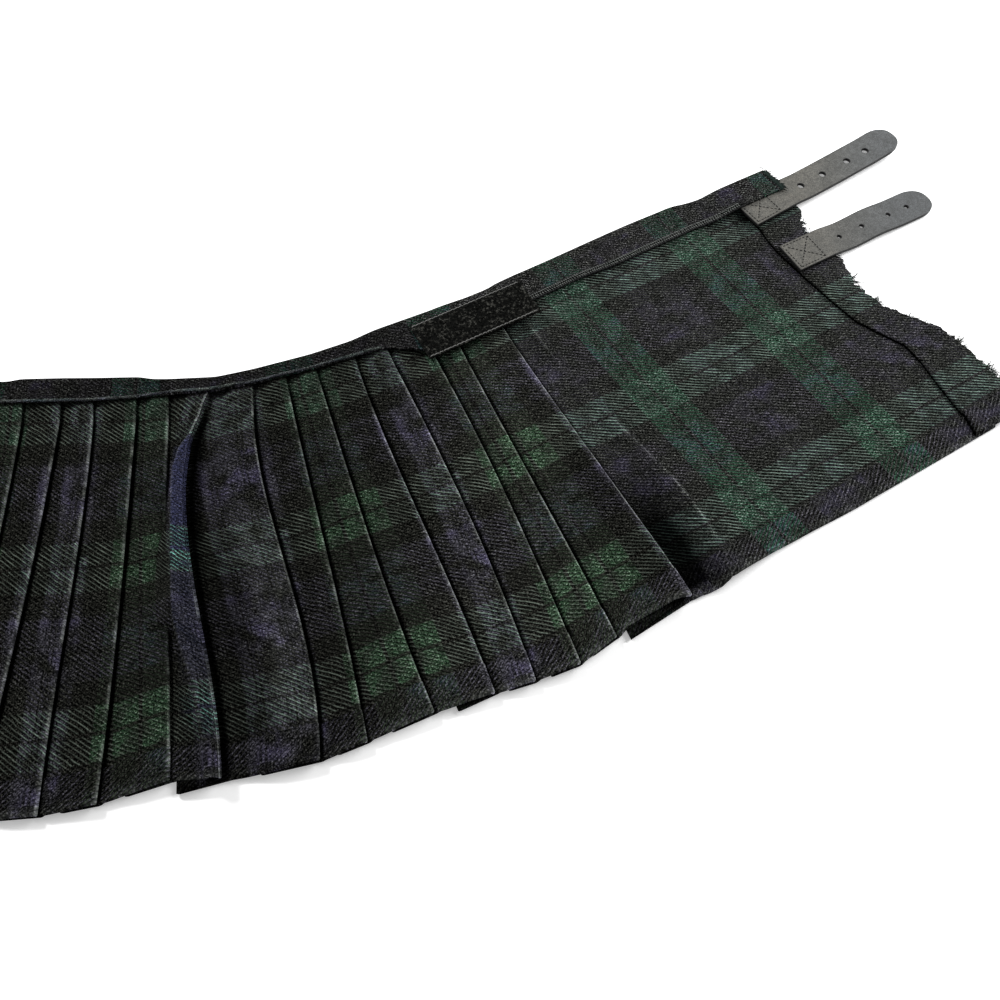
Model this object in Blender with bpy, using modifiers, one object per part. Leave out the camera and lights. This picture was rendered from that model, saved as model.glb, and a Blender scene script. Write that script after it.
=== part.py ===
"""A baby's Scottish kilt, opened out and laid flat with its inside up.

The garment is one length of tartan with 17 knife pleats between an under-apron (left) and an
over-apron (right), bound by a waistband, with a fringed strip and two leather straps on the
over-apron's free edge. Everything is worked out in millimetres on a laying-out grid whose origin
is the middle of the garment, X to the right along the waist and Y towards the waist.

The plan of the cloth is a set of fold lines that run from the waist to the hem. A place on the
cloth is given by the gap between two fold lines, the part of the way across it, a sideways shift
in millimetres and v, which is 0 at the waist edge and 1 at the hem.
"""
import math
import random
from collections import namedtuple

import bmesh
import bpy
from mathutils import Vector

MM = 0.001
UP = Vector((0.0, 0.0, 1.0))

# The middle of the finished garment on the grid that the tables below are written in.
GRID_MIDDLE = Vector((0.845, -1.961, 0.0))

# ---- cloth ---------------------------------------------------------------------------------
CLOTH = 1.1  # wall of the wool cloth
GAP = 0.35  # clearance between pieces, and between the layers of a pleat
LAYER = CLOTH + GAP  # height from one layer to the next
HEM_FOLD = 0.8  # extra thickness where the hem is turned up
HEM_START = 0.932  # v at which the turned hem begins
HEM_STEP = 0.008  # the v that the step up on to it takes
TUCK = 0.4  # part of a gap that a hidden fold stays back from the edge before it
APRON_TUCK = 12.0  # how far the first hidden fold lies inside the under-apron's edge
EDGE_CLEAR = 1.6  # how far past a fold's edge the next strip starts to rise
FOLD_RADIUS = LAYER / 2  # a pleat's fold turns from one layer to the next

# ---- hardware under the cloth, which sets how far the cloth rises over it ------------------
PATCH_THICK = 1.6
BUCKLE_HEIGHT = 4.9
HOOK_RISE = PATCH_THICK + GAP
BUCKLE_RISE = BUCKLE_HEIGHT + GAP
RISE_FADE = (0.32, 0.58)  # v over which the rise dies away down the cloth
UNDER_RISE = [  # part of the way across the under-apron, and the rise there
    (0.0, HOOK_RISE),
    (0.49, HOOK_RISE),
    (0.60, 0.0),
    (0.66, 0.0),
    (0.79, BUCKLE_RISE),
    (1.0, BUCKLE_RISE),
]

# ---- fold lines, waist to hem --------------------------------------------------------------
# waist and hem: ends of the line; upper and lower bow: sideways bend a third and two thirds of
# the way down; lift: how far the fold's edge stands up; peek: how far its hidden layers reach
# below the hem; band: width of the waistband there; rise: height of the cloth's underside where
# it lies over hardware that is sewn to its outside.
FoldLine = namedtuple(
    "FoldLine", "waist_x waist_y hem_x hem_y upper_bow lower_bow lift peek band rise"
)
FOLD_LINES = [
    FoldLine(-350.7, 4.6, -385.0, -215.0, 0.0, 0.0, 0.0, 0.0, 12.7, HOOK_RISE),  # under-apron's free edge
    FoldLine(-185.6, 17.0, -207.0, -199.5, 0.5, 0.0, 0.6, 0.0, 12.7, BUCKLE_RISE),
    FoldLine(-166.1, 18.0, -181.0, -198.7, 1.0, 1.0, 0.4, 0.0, 12.7, BUCKLE_RISE),
    FoldLine(-148.6, 21.0, -153.0, -198.5, 2.0, 2.0, 0.8, 0.0, 12.7, 2.0),
    FoldLine(-130.2, 22.7, -125.0, -198.5, 4.0, 4.0, 0.4, 0.0, 12.7, 0.0),
    FoldLine(-110.5, 23.2, -104.0, -198.0, 2.8, 2.4, 0.8, 0.0, 12.7, 0.0),
    FoldLine(-94.7, 23.2, -77.0, -196.0, 2.5, 1.0, 0.5, 0.0, 12.4, 0.0),
    FoldLine(-72.1, 23.7, -53.0, -192.0, 1.2, 1.5, 0.9, 2.0, 10.9, 0.0),
    FoldLine(-55.3, 23.7, -24.0, -181.0, -1.6, -0.5, 0.6, 0.0, 8.4, 0.0),
    FoldLine(-30.7, 25.1, -1.0, -180.0, -14.7, -7.7, 8.0, 5.0, 6.9, 0.0),  # the pleat that stands open
    FoldLine(-12.0, 30.1, 39.0, -171.0, -4.8, 1.2, 1.2, 0.0, 7.7, 0.0),
    FoldLine(2.8, 35.0, 59.0, -165.0, 0.0, 0.9, 0.5, 2.0, 7.9, 0.0),
    FoldLine(17.5, 39.9, 87.0, -151.0, -1.4, -2.0, 0.8, 0.0, 8.4, 0.0),
    FoldLine(37.2, 48.3, 114.0, -143.0, -1.7, -0.1, 0.5, 2.0, 9.4, 0.0),
    FoldLine(52.0, 55.7, 132.0, -137.0, 2.8, 3.5, 0.8, 0.0, 11.4, 0.0),
    FoldLine(70.7, 64.5, 152.0, -128.0, 3.1, 2.8, 0.5, 0.0, 22.4, 0.0),
    FoldLine(85.5, 71.4, 169.0, -116.0, -0.6, 0.1, 0.7, 0.0, 22.4, 0.0),
    FoldLine(109.1, 81.3, 204.0, -96.0, -1.8, 0.1, 1.5, 8.0, 20.4, 0.0),
    FoldLine(122.9, 90.8, 227.0, -87.0, -3.7, 5.0, 0.0, 0.0, 19.4, 0.0),  # the over-apron's soft fold
    FoldLine(260.1, 168.3, 370.0, -0.6, 0.0, 0.0, 0.0, 0.0, 17.4, 0.0),  # over-apron's free edge
]
BOW_PEAK = 27.0 / 2.0  # makes each bow reach its full amount at its own third
DROP = 207.0  # length of the cloth from the waist edge to the hem
FIRST_FOLD = 1
LAST_FOLD = 17
SOFT_FOLD = 18
OVER_EDGE = 19

UNDER_PARTS = (0.0, 0.16, 0.33, 0.49, 0.60, 0.66, 0.79)  # columns across the under-apron

# v of the rows of the cloth's mesh
ROWS = [0.0, 0.06, 0.11, 0.20, 0.32, 0.45, 0.58, 0.70, 0.82, HEM_START, HEM_START + HEM_STEP, 1.0]

# ---- waistband -----------------------------------------------------------------------------
BAND_OUTSIDE = 10.0  # how far the band reaches down the outside, under the cloth
BAND_TURN = 1.5  # how far its turn stands past the waist edge
BAND_CHAMFER = 0.9  # size of the turn's corners
BAND_BEAD = 0.9  # extra thickness of the band's rolled lower edge
BAND_ROLL = [(3.2, 0.0), (2.2, 0.8), (0.9, 1.0), (0.0, 0.2)]  # distance from that edge, part of it
BEAD_END = 14  # the fold line at which the rolled edge runs under the loop patch
BAND_RELEASE = (0.06, 0.11)  # v over which the cloth comes down from on top of the outside leg
BAND_OVERHANG = 14.0  # how far the band runs past the over-apron's edge

# ---- the over-apron's soft forms: height along the soft fold and in broad waves --------------
SOFT_FOLD_HEIGHTS = [(0.11, 0.0), (0.2, 2.2), (0.3, 0.8), (0.5, 1.2), (0.75, 3.6), (1.0, 4.6)]
WAVE_HEIGHT = 0.5
WAVE_LENGTH = 62.0

# ---- fringed strip: v, its left edge and the outer end of its fringe past the strip's line ---
StripRow = namedtuple("StripRow", "v left fringe")
STRIP_LINE = -14.0  # the strip's straight left edge, measured from the over-apron's edge
STRIP_ROWS = [
    StripRow(0.015, 0.0, 31.0),
    StripRow(0.06, 0.0, 32.0),
    StripRow(0.11, 0.0, 33.0),
    StripRow(0.165, 0.0, 33.0),
    StripRow(0.21, -2.0, 25.5),
    StripRow(0.26, -3.0, 24.0),
    StripRow(0.37, -2.5, 27.0),
    StripRow(0.46, -1.6, 21.0),
    StripRow(0.56, 0.0, 23.5),
    StripRow(0.61, 4.0, 29.0),
    StripRow(0.69, 11.0, 38.0),
    StripRow(0.76, 10.0, 40.5),
    StripRow(0.83, 7.0, 40.5),
    StripRow(HEM_START, 4.0, 40.0),
    StripRow(HEM_START + HEM_STEP, 4.0, 40.0),
    StripRow(1.0, 0.0, 40.0),
]
STRIP_PARTS = (0.0, 0.35, 0.7, 1.0)
FRINGE_LENGTH = 6.5  # from the strip's woven edge to the mean end of the threads
FRINGE_ROOT = 1.4  # width of the narrow strip that the threads stand on
FRINGE_START = 0.17  # v at which the fringe comes out from under the upper strap
FRINGE_END = 0.92  # v at which it stops, above the turned hem
FRINGE_PITCH = 2.3
FRINGE_SEED = 7

# ---- hook and loop patches -------------------------------------------------------------------
PATCH_LENGTH = 67.0
PATCH_WIDTH = 24.0
PATCH_EDGE = 0.5
LOOP_PATCH_PLACE = (103.8, 63.7, 28.9)  # x, y and turn in degrees
HOOK_PATCH_PLACE = (-311.5, -8.0, 4.5)

# ---- straps and buckles ----------------------------------------------------------------------
STRAP_THICK = 2.0
STRAP_WIDTH = 20.5
STRAP_TIP = 13.0  # length of the rounded tip
STRAP_HOLE = 2.8
STRAP_STATION = 10.0  # spacing of the cross lines on which a strap bends
Strap = namedtuple("Strap", "name x y turn length holes heights")
STRAPS = [
    Strap("strap_upper", 258.3, 141.9, 34.0, 116.0, (42.3, 59.3, 78.6, 93.4),
          ((0.0, 4.35), (30.0, 4.35), (46.0, 3.2), (64.0, 3.2), (88.0, 3.6), (116.0, 5.0))),
    Strap("strap_lower", 279.4, 109.7, 29.3, 101.0, (35.4, 51.3, 71.0, 84.7),
          ((0.0, 2.95), (24.0, 2.95), (40.0, 1.3), (58.0, 2.4), (78.0, 0.9), (101.0, 0.7))),
]
BUCKLE_PLACES = [("upper", -192.6, 1.4, 3.0), ("lower", -194.6, -35.6, 3.0)]
BUCKLE_WIRE = 0.9
BUCKLE_SIZE = (17.0, 25.0)  # along the strap and across it
BUCKLE_CORNER = 3.0
TAB_LEATHER = 1.2
TAB_LENGTH = 22.0
TAB_WIDTH = 18.0
TAB_LEG_GAP = 0.2  # between the tab's two legs where they are sewn together
TAB_MEET = 7.0  # how far past the bar the lower leg meets the upper one
TAB_DIP = 3.0  # how far past the bar the lower leg starts to rise to it
PRONG_WIRE = 0.55
PRONG_OVER = 1.0  # how far the prong's tip lies past the frame

# A place on a path across the cloth; level counts the layers below it.
Point = namedtuple("Point", "gap part shift level")

# Base colour, roughness and metalness of each finish.
MATERIALS = {
    "tartan": ((0.010, 0.018, 0.020, 1.0), 0.92, 0.0),
    "leather": ((0.150, 0.145, 0.130, 1.0), 0.62, 0.0),
    "loop_pile": ((0.012, 0.013, 0.014, 1.0), 0.95, 0.0),
    "hook_tape": ((0.010, 0.011, 0.012, 1.0), 0.70, 0.0),
    "steel": ((0.560, 0.560, 0.540, 1.0), 0.30, 1.0),
}


def smooth(value, low, high):
    """Ease from 0 at low to 1 at high."""
    t = min(max((value - low) / (high - low), 0.0), 1.0)
    return t * t * (3.0 - 2.0 * t)


def along_table(table, value):
    """Read a table of (place, amount) pairs with an eased step between its rows."""
    for (start, low), (end, high) in zip(table, table[1:]):
        if value <= end:
            return low + (high - low) * smooth(value, start, end)
    return table[-1][1]


def straight_table(table, value):
    """Read a table of (place, amount) pairs with straight lines between its rows."""
    for (start, low), (end, high) in zip(table, table[1:]):
        if value <= end:
            return low + (high - low) * (value - start) / (end - start)
    return table[-1][1]


# ---- the plan of the cloth -------------------------------------------------------------------
def fold_point(index, v):
    """Return the plan position of a fold line at v."""
    line = FOLD_LINES[index]
    waist = Vector((line.waist_x, line.waist_y, 0.0))
    hem = Vector((line.hem_x, line.hem_y, 0.0))
    side = (hem - waist).cross(UP).normalized() * -1.0
    upper = BOW_PEAK * v * (1.0 - v) * (2.0 / 3.0 - v)
    lower = BOW_PEAK * v * (1.0 - v) * (v - 1.0 / 3.0)
    return waist.lerp(hem, v) + side * (line.upper_bow * upper + line.lower_bow * lower)


def place(gap, part, shift, v):
    """Return the plan position at a part of a gap, moved sideways by shift millimetres."""
    left = fold_point(gap, v)
    right = fold_point(gap + 1, v)
    return left.lerp(right, part) + (right - left).normalized() * shift


def down_cloth(gap, part):
    """Return the direction from the waist edge to the hem in the plan."""
    return (place(gap, part, 0.0, 1.0) - place(gap, part, 0.0, 0.0)).normalized()


def rest_height(gap, part, shift, v):
    """Return the height of the underside of the lowest layer."""
    reach = part + shift / (fold_point(gap + 1, v) - fold_point(gap, v)).length
    if gap < FIRST_FOLD:
        rise = straight_table(UNDER_RISE, reach)
    else:
        rise = FOLD_LINES[gap].rise * (1.0 - reach) + FOLD_LINES[gap + 1].rise * reach
    released = LAYER * (1.0 - smooth(v, *BAND_RELEASE))
    return rise * (1.0 - smooth(v, *RISE_FADE)) + released


def apron_wave(gap, part, v):
    """Return the height of the over-apron's soft fold and waves."""
    fold = along_table(SOFT_FOLD_HEIGHTS, v)
    if gap == LAST_FOLD:
        return fold * smooth(part, 0.3, 1.0) ** 1.5
    if gap != SOFT_FOLD:
        return 0.0
    settled = 1.0 - smooth(part, 0.0, 0.3)
    spot = place(gap, part, 0.0, v)
    wave = 0.5 - 0.5 * math.cos((spot.x + 0.6 * spot.y) * math.tau / WAVE_LENGTH)
    calm = smooth(part, 0.12, 0.3) * (1.0 - smooth(part, 0.62, 0.8)) * smooth(v, 0.1, 0.3)
    return fold * settled + WAVE_HEIGHT * wave * calm


def pleat_lift(gap, part, level, v):
    """Return how far a pleat's edge and the layer under it stand up."""
    if level < 1.0 or not FIRST_FOLD <= gap + 1 <= LAST_FOLD:
        return 0.0
    reach = smooth(part, TUCK, 1.0) if gap >= FIRST_FOLD else smooth(part, 0.95, 1.0)
    return FOLD_LINES[gap + 1].lift * reach * smooth(v, 0.04, 0.3)


def centre_of(point, v):
    """Return the centre of the cloth's wall at a path point."""
    reach = v
    line = FOLD_LINES[point.gap + 1]
    if v == 1.0 and point.level <= 1.0 and point.part >= TUCK:
        reach = 1.0 + line.peek / DROP
    spot = place(point.gap, point.part, point.shift, reach)
    height = rest_height(point.gap, point.part, point.shift, v) + CLOTH / 2
    height += point.level * LAYER
    height += pleat_lift(point.gap, point.part, point.level, v)
    return spot + UP * (height + apron_wave(point.gap, point.part, v))


# ---- paths across the cloth ------------------------------------------------------------------
def fold_edge(gap):
    """Return the points of a pleat's visible edge, from its top layer round to the one below."""
    return [
        Point(gap, 1.0, -FOLD_RADIUS, 2.0),
        Point(gap, 1.0, 0.0, 1.5),
        Point(gap, 1.0, -FOLD_RADIUS, 1.0),
    ]


def under_apron_path():
    """Return the under-apron's points, with the first pleat's edge and its hidden back."""
    points = [Point(0, part, 0.0, 0.0) for part in UNDER_PARTS]
    points += [Point(0, 1.0, -APRON_TUCK - 13.0, 0.0), Point(0, 1.0, -APRON_TUCK - 2.0, 2.0)]
    points += [Point(0, 1.0, -6.0, 2.0)]
    points += fold_edge(0)
    points += [Point(0, 1.0, -APRON_TUCK + 3.0, 1.0)]
    return points


def pleats_path():
    """Return the points of pleats 2 to 17, from one hidden seam to the other."""
    points = [Point(0, 1.0, -APRON_TUCK + 1.0, 0.0)]
    for gap in range(FIRST_FOLD, LAST_FOLD):
        if gap > FIRST_FOLD:
            points += [Point(gap - 1, TUCK, 0.0, 0.5), Point(gap - 1, TUCK, FOLD_RADIUS, 0.0)]
        points += [Point(gap, 0.0, EDGE_CLEAR, 0.0), Point(gap, TUCK, -FOLD_RADIUS - 0.6, 2.0)]
        points += [Point(gap, (1.0 + TUCK) / 2, 0.0, 2.0)]
        points += fold_edge(gap)
        points += [Point(gap, TUCK, FOLD_RADIUS, 1.0)]
    return points


def over_apron_path():
    """Return the over-apron's points, from the hidden seam to its free edge."""
    points = [Point(LAST_FOLD - 1, TUCK, 1.0, 0.0), Point(LAST_FOLD, 0.0, EDGE_CLEAR, 0.0)]
    points += [Point(LAST_FOLD, part, 0.0, 0.0) for part in (0.3, 0.6, 0.85, 1.0)]
    parts = (0.04, 0.10, 0.18, 0.28, 0.38, 0.48, 0.58, 0.68, 0.78, 0.88, 1.0)
    points += [Point(SOFT_FOLD, part, 0.0, 0.0) for part in parts]
    return points


# ---- meshes ----------------------------------------------------------------------------------
def material(name):
    """Return the named material, made the first time that it is asked for."""
    found = bpy.data.materials.get(name)
    if found:
        return found
    colour, roughness, metallic = MATERIALS[name]
    found = bpy.data.materials.new(name)
    found.use_nodes = True
    shader = found.node_tree.nodes["Principled BSDF"]
    shader.inputs["Base Color"].default_value = colour
    shader.inputs["Roughness"].default_value = roughness
    shader.inputs["Metallic"].default_value = metallic
    found.diffuse_color = colour
    return found


def add_object(name, mesh, finish, collection):
    """Put a mesh in the garment's collection under its node's name."""
    item = bpy.data.objects.new(name, mesh)
    mesh.materials.clear()
    mesh.materials.append(material(finish))
    collection.objects.link(item)
    return item


def finish_bmesh(name, bm, finish, collection):
    """Turn a closed bmesh in millimetres into an object in metres."""
    bmesh.ops.scale(bm, verts=bm.verts, vec=(MM, MM, MM))
    bmesh.ops.recalc_face_normals(bm, faces=bm.faces)
    mesh = bpy.data.meshes.new(name)
    bm.to_mesh(mesh)
    bm.free()
    return add_object(name, mesh, finish, collection)


def wall_normals(points, along):
    """Return mitred normals of a path whose wall also runs in the direction along."""
    steps = [(b - a).normalized() for a, b in zip(points, points[1:])]
    flats = [along.cross(step).normalized() for step in steps]
    normals = [flats[0]]
    for before, after in zip(flats, flats[1:]):
        half = (before + after).normalized()
        normals.append(half / max(half.dot(after), 0.5))
    return normals + [flats[-1]]


def add_wall(name, rows, alongs, upper, lower, finish, collection):
    """Loft a closed wall round rows of centre points.

    upper and lower give the wall's reach on each side of the centre at (row, column).
    """
    bm = bmesh.new()
    faces = {}
    for side, reach in ((1.0, upper), (-1.0, lower)):
        grid = []
        for r, (row, along) in enumerate(zip(rows, alongs)):
            normals = wall_normals(row, along)
            spots = [p + n * side * reach(r, k) for k, (p, n) in enumerate(zip(row, normals))]
            grid.append([bm.verts.new((x, y, max(z, 0.0))) for x, y, z in spots])
        faces[side] = grid
    last_row = len(rows) - 1
    last_column = len(rows[0]) - 1
    for grid in faces.values():
        for r in range(last_row):
            for k in range(last_column):
                bm.faces.new((grid[r][k], grid[r][k + 1], grid[r + 1][k + 1], grid[r + 1][k]))
    top, bottom = faces[1.0], faces[-1.0]
    for r in (0, last_row):
        for k in range(last_column):
            bm.faces.new((top[r][k], top[r][k + 1], bottom[r][k + 1], bottom[r][k]))
    for k in (0, last_column):
        for r in range(last_row):
            bm.faces.new((top[r][k], top[r + 1][k], bottom[r + 1][k], bottom[r][k]))
    return finish_bmesh(name, bm, finish, collection)


def hem_extra(v, level):
    """Return the extra thickness of the turned hem where the cloth lies open."""
    return HEM_FOLD * min(level / 2.0, 1.0) if v > HEM_START else 0.0


def add_cloth(name, path, open_levels, collection):
    """Build a panel from its path; open_levels says which levels show the turned hem."""
    rows = [[centre_of(point, v) for point in path] for v in ROWS]
    middle = path[len(path) // 2]
    alongs = [down_cloth(middle.gap, middle.part)] * len(ROWS)

    def upper(r, k):
        return CLOTH / 2 + hem_extra(ROWS[r], open_levels(path[k]))

    def lower(_r, _k):
        return CLOTH / 2

    return add_wall(name, rows, alongs, upper, lower, "tartan", collection)


def pleat_openness(point):
    """Show the turned hem on a pleat's front only."""
    return 2.0 if point.level >= 1.5 else 0.0


def under_apron_openness(point):
    """Show the turned hem on the apron, and on its pleat's front only."""
    hidden = point.level == 1.0 or (point.level == 0.0 and point.part == 1.0)
    return 0.0 if hidden else 2.0


def over_apron_openness(point):
    """Show the turned hem past the last pleat's edge."""
    return 0.0 if point.gap < LAST_FOLD or point.part == 0.0 else 2.0


# ---- waistband -------------------------------------------------------------------------------
def band_stations():
    """Return (gap, part, shift, pleat layers above the first, end pieces) along the waistband."""
    stations = [(0, part, 0.0, 0.0, 0.0) for part in UNDER_PARTS]
    stations += [(0, 0.845, 0.0, 2.0, 0.0)]
    stations += [(gap, 0.0, 0.0, 2.0, 0.0) for gap in range(FIRST_FOLD, LAST_FOLD + 1)]
    stations += [(LAST_FOLD, 0.0, 3.0, 2.0, 0.0), (LAST_FOLD, 0.7, 0.0, 1.0, 0.0)]
    stations += [(SOFT_FOLD, 0.06, 0.0, 0.15, 0.0)]
    stations += [(SOFT_FOLD, part, 0.0, 0.0, 0.0) for part in (0.18, 0.34, 0.5, 0.66)]
    ends = ((-40.0, 0.0), (-32.0, 0.35), (-24.0, 0.8), (-17.0, 1.0), (0.0, 1.0))
    stations += [(SOFT_FOLD, 1.0, shift, 0.0, share) for shift, share in ends]
    stations += [(SOFT_FOLD, 1.0, BAND_OVERHANG, 0.0, 0.95)]
    return stations


def band_stack(layers, share):
    """Return the height of what lies between the band's two legs."""
    return CLOTH + layers * LAYER + share * (LAYER + STRAP_THICK + GAP)


def band_width(gap, part):
    """Return the width of the band on the inside of the garment."""
    return FOLD_LINES[gap].band * (1.0 - part) + FOLD_LINES[gap + 1].band * part


def build_waistband(collection):
    """Build the band that is folded over the waist edge, with a rolled lower edge."""
    stations = band_stations()
    rows = []
    alongs = []
    for gap, part, shift, layers, share in stations:
        waist = place(gap, part, shift, 0.0)
        down = down_cloth(gap, part)
        low = rest_height(gap, part, shift, 0.0) - LAYER + CLOTH / 2
        high = low + LAYER + band_stack(layers, share) + GAP
        width = band_width(gap, part)
        section = [
            (BAND_OUTSIDE, low), (BAND_OUTSIDE * 0.4, low), (BAND_CHAMFER - BAND_TURN, low),
            (-BAND_TURN, low + BAND_CHAMFER), (-BAND_TURN, high - BAND_CHAMFER),
            (BAND_CHAMFER - BAND_TURN, high), (width * 0.5, high),
        ]
        first_roll = len(section)
        section += [(width - back, high) for back, _share in BAND_ROLL]
        rows.append([waist + down * reach + UP * height for reach, height in section])
        alongs.append(down.cross(UP).normalized() * -1.0)

    def inner(_r, _k):
        return CLOTH / 2

    def outer(r, k):
        rolled = k >= first_roll and stations[r][0] < BEAD_END
        return CLOTH / 2 + (BAND_BEAD * BAND_ROLL[k - first_roll][1] if rolled else 0.0)

    return add_wall("waistband", rows, alongs, inner, outer, "tartan", collection)


# ---- fringed strip ---------------------------------------------------------------------------
def strip_height(v):
    """Return the centre height of the strip, which lies on the over-apron."""
    hem = HEM_FOLD if v > HEM_START else 0.0
    return LAYER * (1.0 - smooth(v, *BAND_RELEASE)) + LAYER + CLOTH / 2 + hem


def strip_row(v):
    """Return the strip's left edge and its fringe's reach at v, between the table's rows."""
    for before, after in zip(STRIP_ROWS, STRIP_ROWS[1:]):
        if v <= after.v:
            t = (v - before.v) / (after.v - before.v)
            left = before.left + (after.left - before.left) * t
            return left, before.fringe + (after.fringe - before.fringe) * t
    return STRIP_ROWS[-1].left, STRIP_ROWS[-1].fringe


def build_fringe_strip(collection):
    """Build the strip of tartan that carries the fringe, on the over-apron's inside."""
    rows = []
    for row in STRIP_ROWS:
        right = row.fringe - FRINGE_LENGTH
        shifts = [STRIP_LINE + row.left + (right - row.left) * part for part in STRIP_PARTS]
        height = strip_height(row.v)
        rows.append([place(SOFT_FOLD, 1.0, shift, row.v) + UP * height for shift in shifts])
    alongs = [down_cloth(SOFT_FOLD, 1.0)] * len(rows)

    def upper(r, _k):
        return CLOTH / 2 + hem_extra(STRIP_ROWS[r].v, 2.0)

    def lower(_r, _k):
        return CLOTH / 2

    return add_wall("fringe_strip", rows, alongs, upper, lower, "tartan", collection)


def fringe_edge(v, out):
    """Return a point past the strip's woven edge, at the strip's own height."""
    _left, reach = strip_row(v)
    shift = STRIP_LINE + reach - FRINGE_LENGTH + out
    return place(SOFT_FOLD, 1.0, shift, v) + UP * strip_height(min(v, HEM_START))


def build_fringe(collection):
    """Build the frayed edge: a narrow strip with a row of separate thread locks."""
    rng = random.Random(FRINGE_SEED)
    count = int((FRINGE_END - FRINGE_START) * DROP / FRINGE_PITCH)
    step = (FRINGE_END - FRINGE_START) / count
    half = Vector((0.0, 0.0, CLOTH / 2 - 0.1))
    bm = bmesh.new()
    sections = []
    for k in range(2 * count + 1):
        v = FRINGE_START + step * k / 2
        corners = [(GAP, 1.0), (GAP, -1.0), (GAP + FRINGE_ROOT, -1.0), (GAP + FRINGE_ROOT, 1.0)]
        sections.append([bm.verts.new(fringe_edge(v, out) + half * side) for out, side in corners])
    bm.faces.new(sections[0])
    bm.faces.new(sections[-1])
    for k, (here, beyond) in enumerate(zip(sections, sections[1:])):
        for a, b in ((0, 1), (1, 2), (3, 0)):
            bm.faces.new((here[a], here[b], beyond[b], beyond[a]))
        root = bm.faces.new((here[2], here[3], beyond[3], beyond[2]))
        if k % 2 == 0:
            middle = (here[2].co + here[3].co + beyond[2].co + beyond[3].co) / 4
            out = (middle - fringe_edge(FRINGE_START + step * (k + 0.5) / 2, 0.0)).normalized()
            lean = down_cloth(SOFT_FOLD, 1.0) * rng.uniform(-0.45, 0.45)
            length = FRINGE_LENGTH * rng.uniform(0.35, 1.25) - FRINGE_ROOT
            tip = middle + (out + lean) * max(length, 1.5) - UP * rng.uniform(0.0, 0.5)
            pulled = bmesh.ops.extrude_discrete_faces(bm, faces=[root])["faces"][0]
            for vert in pulled.verts:
                vert.co = tip + (vert.co - middle) * 0.45
    return finish_bmesh("fringe", bm, "tartan", collection)


# ---- patches, straps and buckles -------------------------------------------------------------
def build_patch(name, spot, base, finish, collection):
    """Build a flat rectangular patch with small round corners."""
    x, y, turn = spot
    bpy.ops.mesh.primitive_cube_add(size=1.0)
    item = bpy.context.object
    item.name = name
    item.dimensions = (PATCH_LENGTH * MM, PATCH_WIDTH * MM, PATCH_THICK * MM)
    bpy.ops.object.transform_apply(location=False, rotation=False, scale=True)
    item.location = Vector((x, y, base + PATCH_THICK / 2)) * MM
    item.rotation_euler.z = math.radians(turn)
    bevel = item.modifiers.new("corners", "BEVEL")
    bevel.width = PATCH_EDGE * MM
    bevel.segments = 2
    bpy.context.collection.objects.unlink(item)
    collection.objects.link(item)
    item.data.materials.append(material(finish))


def strap_outline():
    """Return the half-outline of a strap's rounded tip as (distance before the tip, half-width)."""
    steps = 8
    angles = [math.pi / 2 * k / steps for k in range(steps + 1)]
    return [(STRAP_TIP * (1.0 - math.sin(a)), STRAP_WIDTH / 2 * math.cos(a) ** 0.8) for a in angles]


def add_spline(curve, points):
    """Add a closed flat outline to a curve."""
    spline = curve.splines.new("POLY")
    spline.points.add(len(points) - 1)
    for target, (x, y) in zip(spline.points, points):
        target.co = (x * MM, y * MM, 0.0, 1.0)
    spline.use_cyclic_u = True


def mesh_from_curve(name, curve):
    """Return a welded mesh of a curve, which is then removed."""
    item = bpy.data.objects.new(name, curve)
    bpy.context.collection.objects.link(item)
    graph = bpy.context.evaluated_depsgraph_get()
    mesh = bpy.data.meshes.new_from_object(item.evaluated_get(graph))
    bpy.data.objects.remove(item)
    bpy.data.curves.remove(curve)
    bm = bmesh.new()
    bm.from_mesh(mesh)
    bmesh.ops.remove_doubles(bm, verts=bm.verts, dist=1e-6)
    bm.to_mesh(mesh)
    bm.free()
    return mesh


def build_strap(strap, collection):
    """Build a flat leather strap with round holes, bent to the heights in its table."""
    curve = bpy.data.curves.new(strap.name, "CURVE")
    curve.dimensions = "2D"
    curve.fill_mode = "BOTH"
    curve.extrude = STRAP_THICK / 2 * MM
    tip = [(strap.length - back, half) for back, half in strap_outline()]
    mirrored = [(x, -y) for x, y in reversed(tip[:-1])]
    square = STRAP_WIDTH / 2
    add_spline(curve, [(0.0, -square), (0.0, square)] + tip + mirrored)
    turns = 12
    for hole in strap.holes:
        ring = [math.tau * k / turns for k in range(turns)]
        radius = STRAP_HOLE / 2
        add_spline(curve, [(hole + radius * math.cos(a), radius * math.sin(a)) for a in ring])
    mesh = mesh_from_curve(strap.name, curve)
    bm = bmesh.new()
    bm.from_mesh(mesh)
    for k in range(1, int(strap.length / STRAP_STATION)):
        whole = bm.verts[:] + bm.edges[:] + bm.faces[:]
        cut = Vector((k * STRAP_STATION * MM, 0.0, 0.0))
        bmesh.ops.bisect_plane(bm, geom=whole, plane_co=cut, plane_no=(1.0, 0.0, 0.0), dist=1e-7)
    for vert in bm.verts:
        vert.co.z += (along_table(strap.heights, vert.co.x / MM) + STRAP_THICK / 2) * MM
    bmesh.ops.recalc_face_normals(bm, faces=bm.faces)
    bm.to_mesh(mesh)
    bm.free()
    item = add_object(strap.name, mesh, "leather", collection)
    put(item, strap.x, strap.y, strap.turn)


def rounded_rectangle(length, width, corner):
    """Return the outline of a rectangle with round corners."""
    steps = 4
    points = []
    for turn, (sx, sy) in enumerate(((1, 1), (-1, 1), (-1, -1), (1, -1))):
        for k in range(steps + 1):
            angle = math.pi / 2 * (turn + k / steps)
            x = sx * (length / 2 - corner) + corner * math.cos(angle)
            points.append((x, sy * (width / 2 - corner) + corner * math.sin(angle)))
    return points


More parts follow.
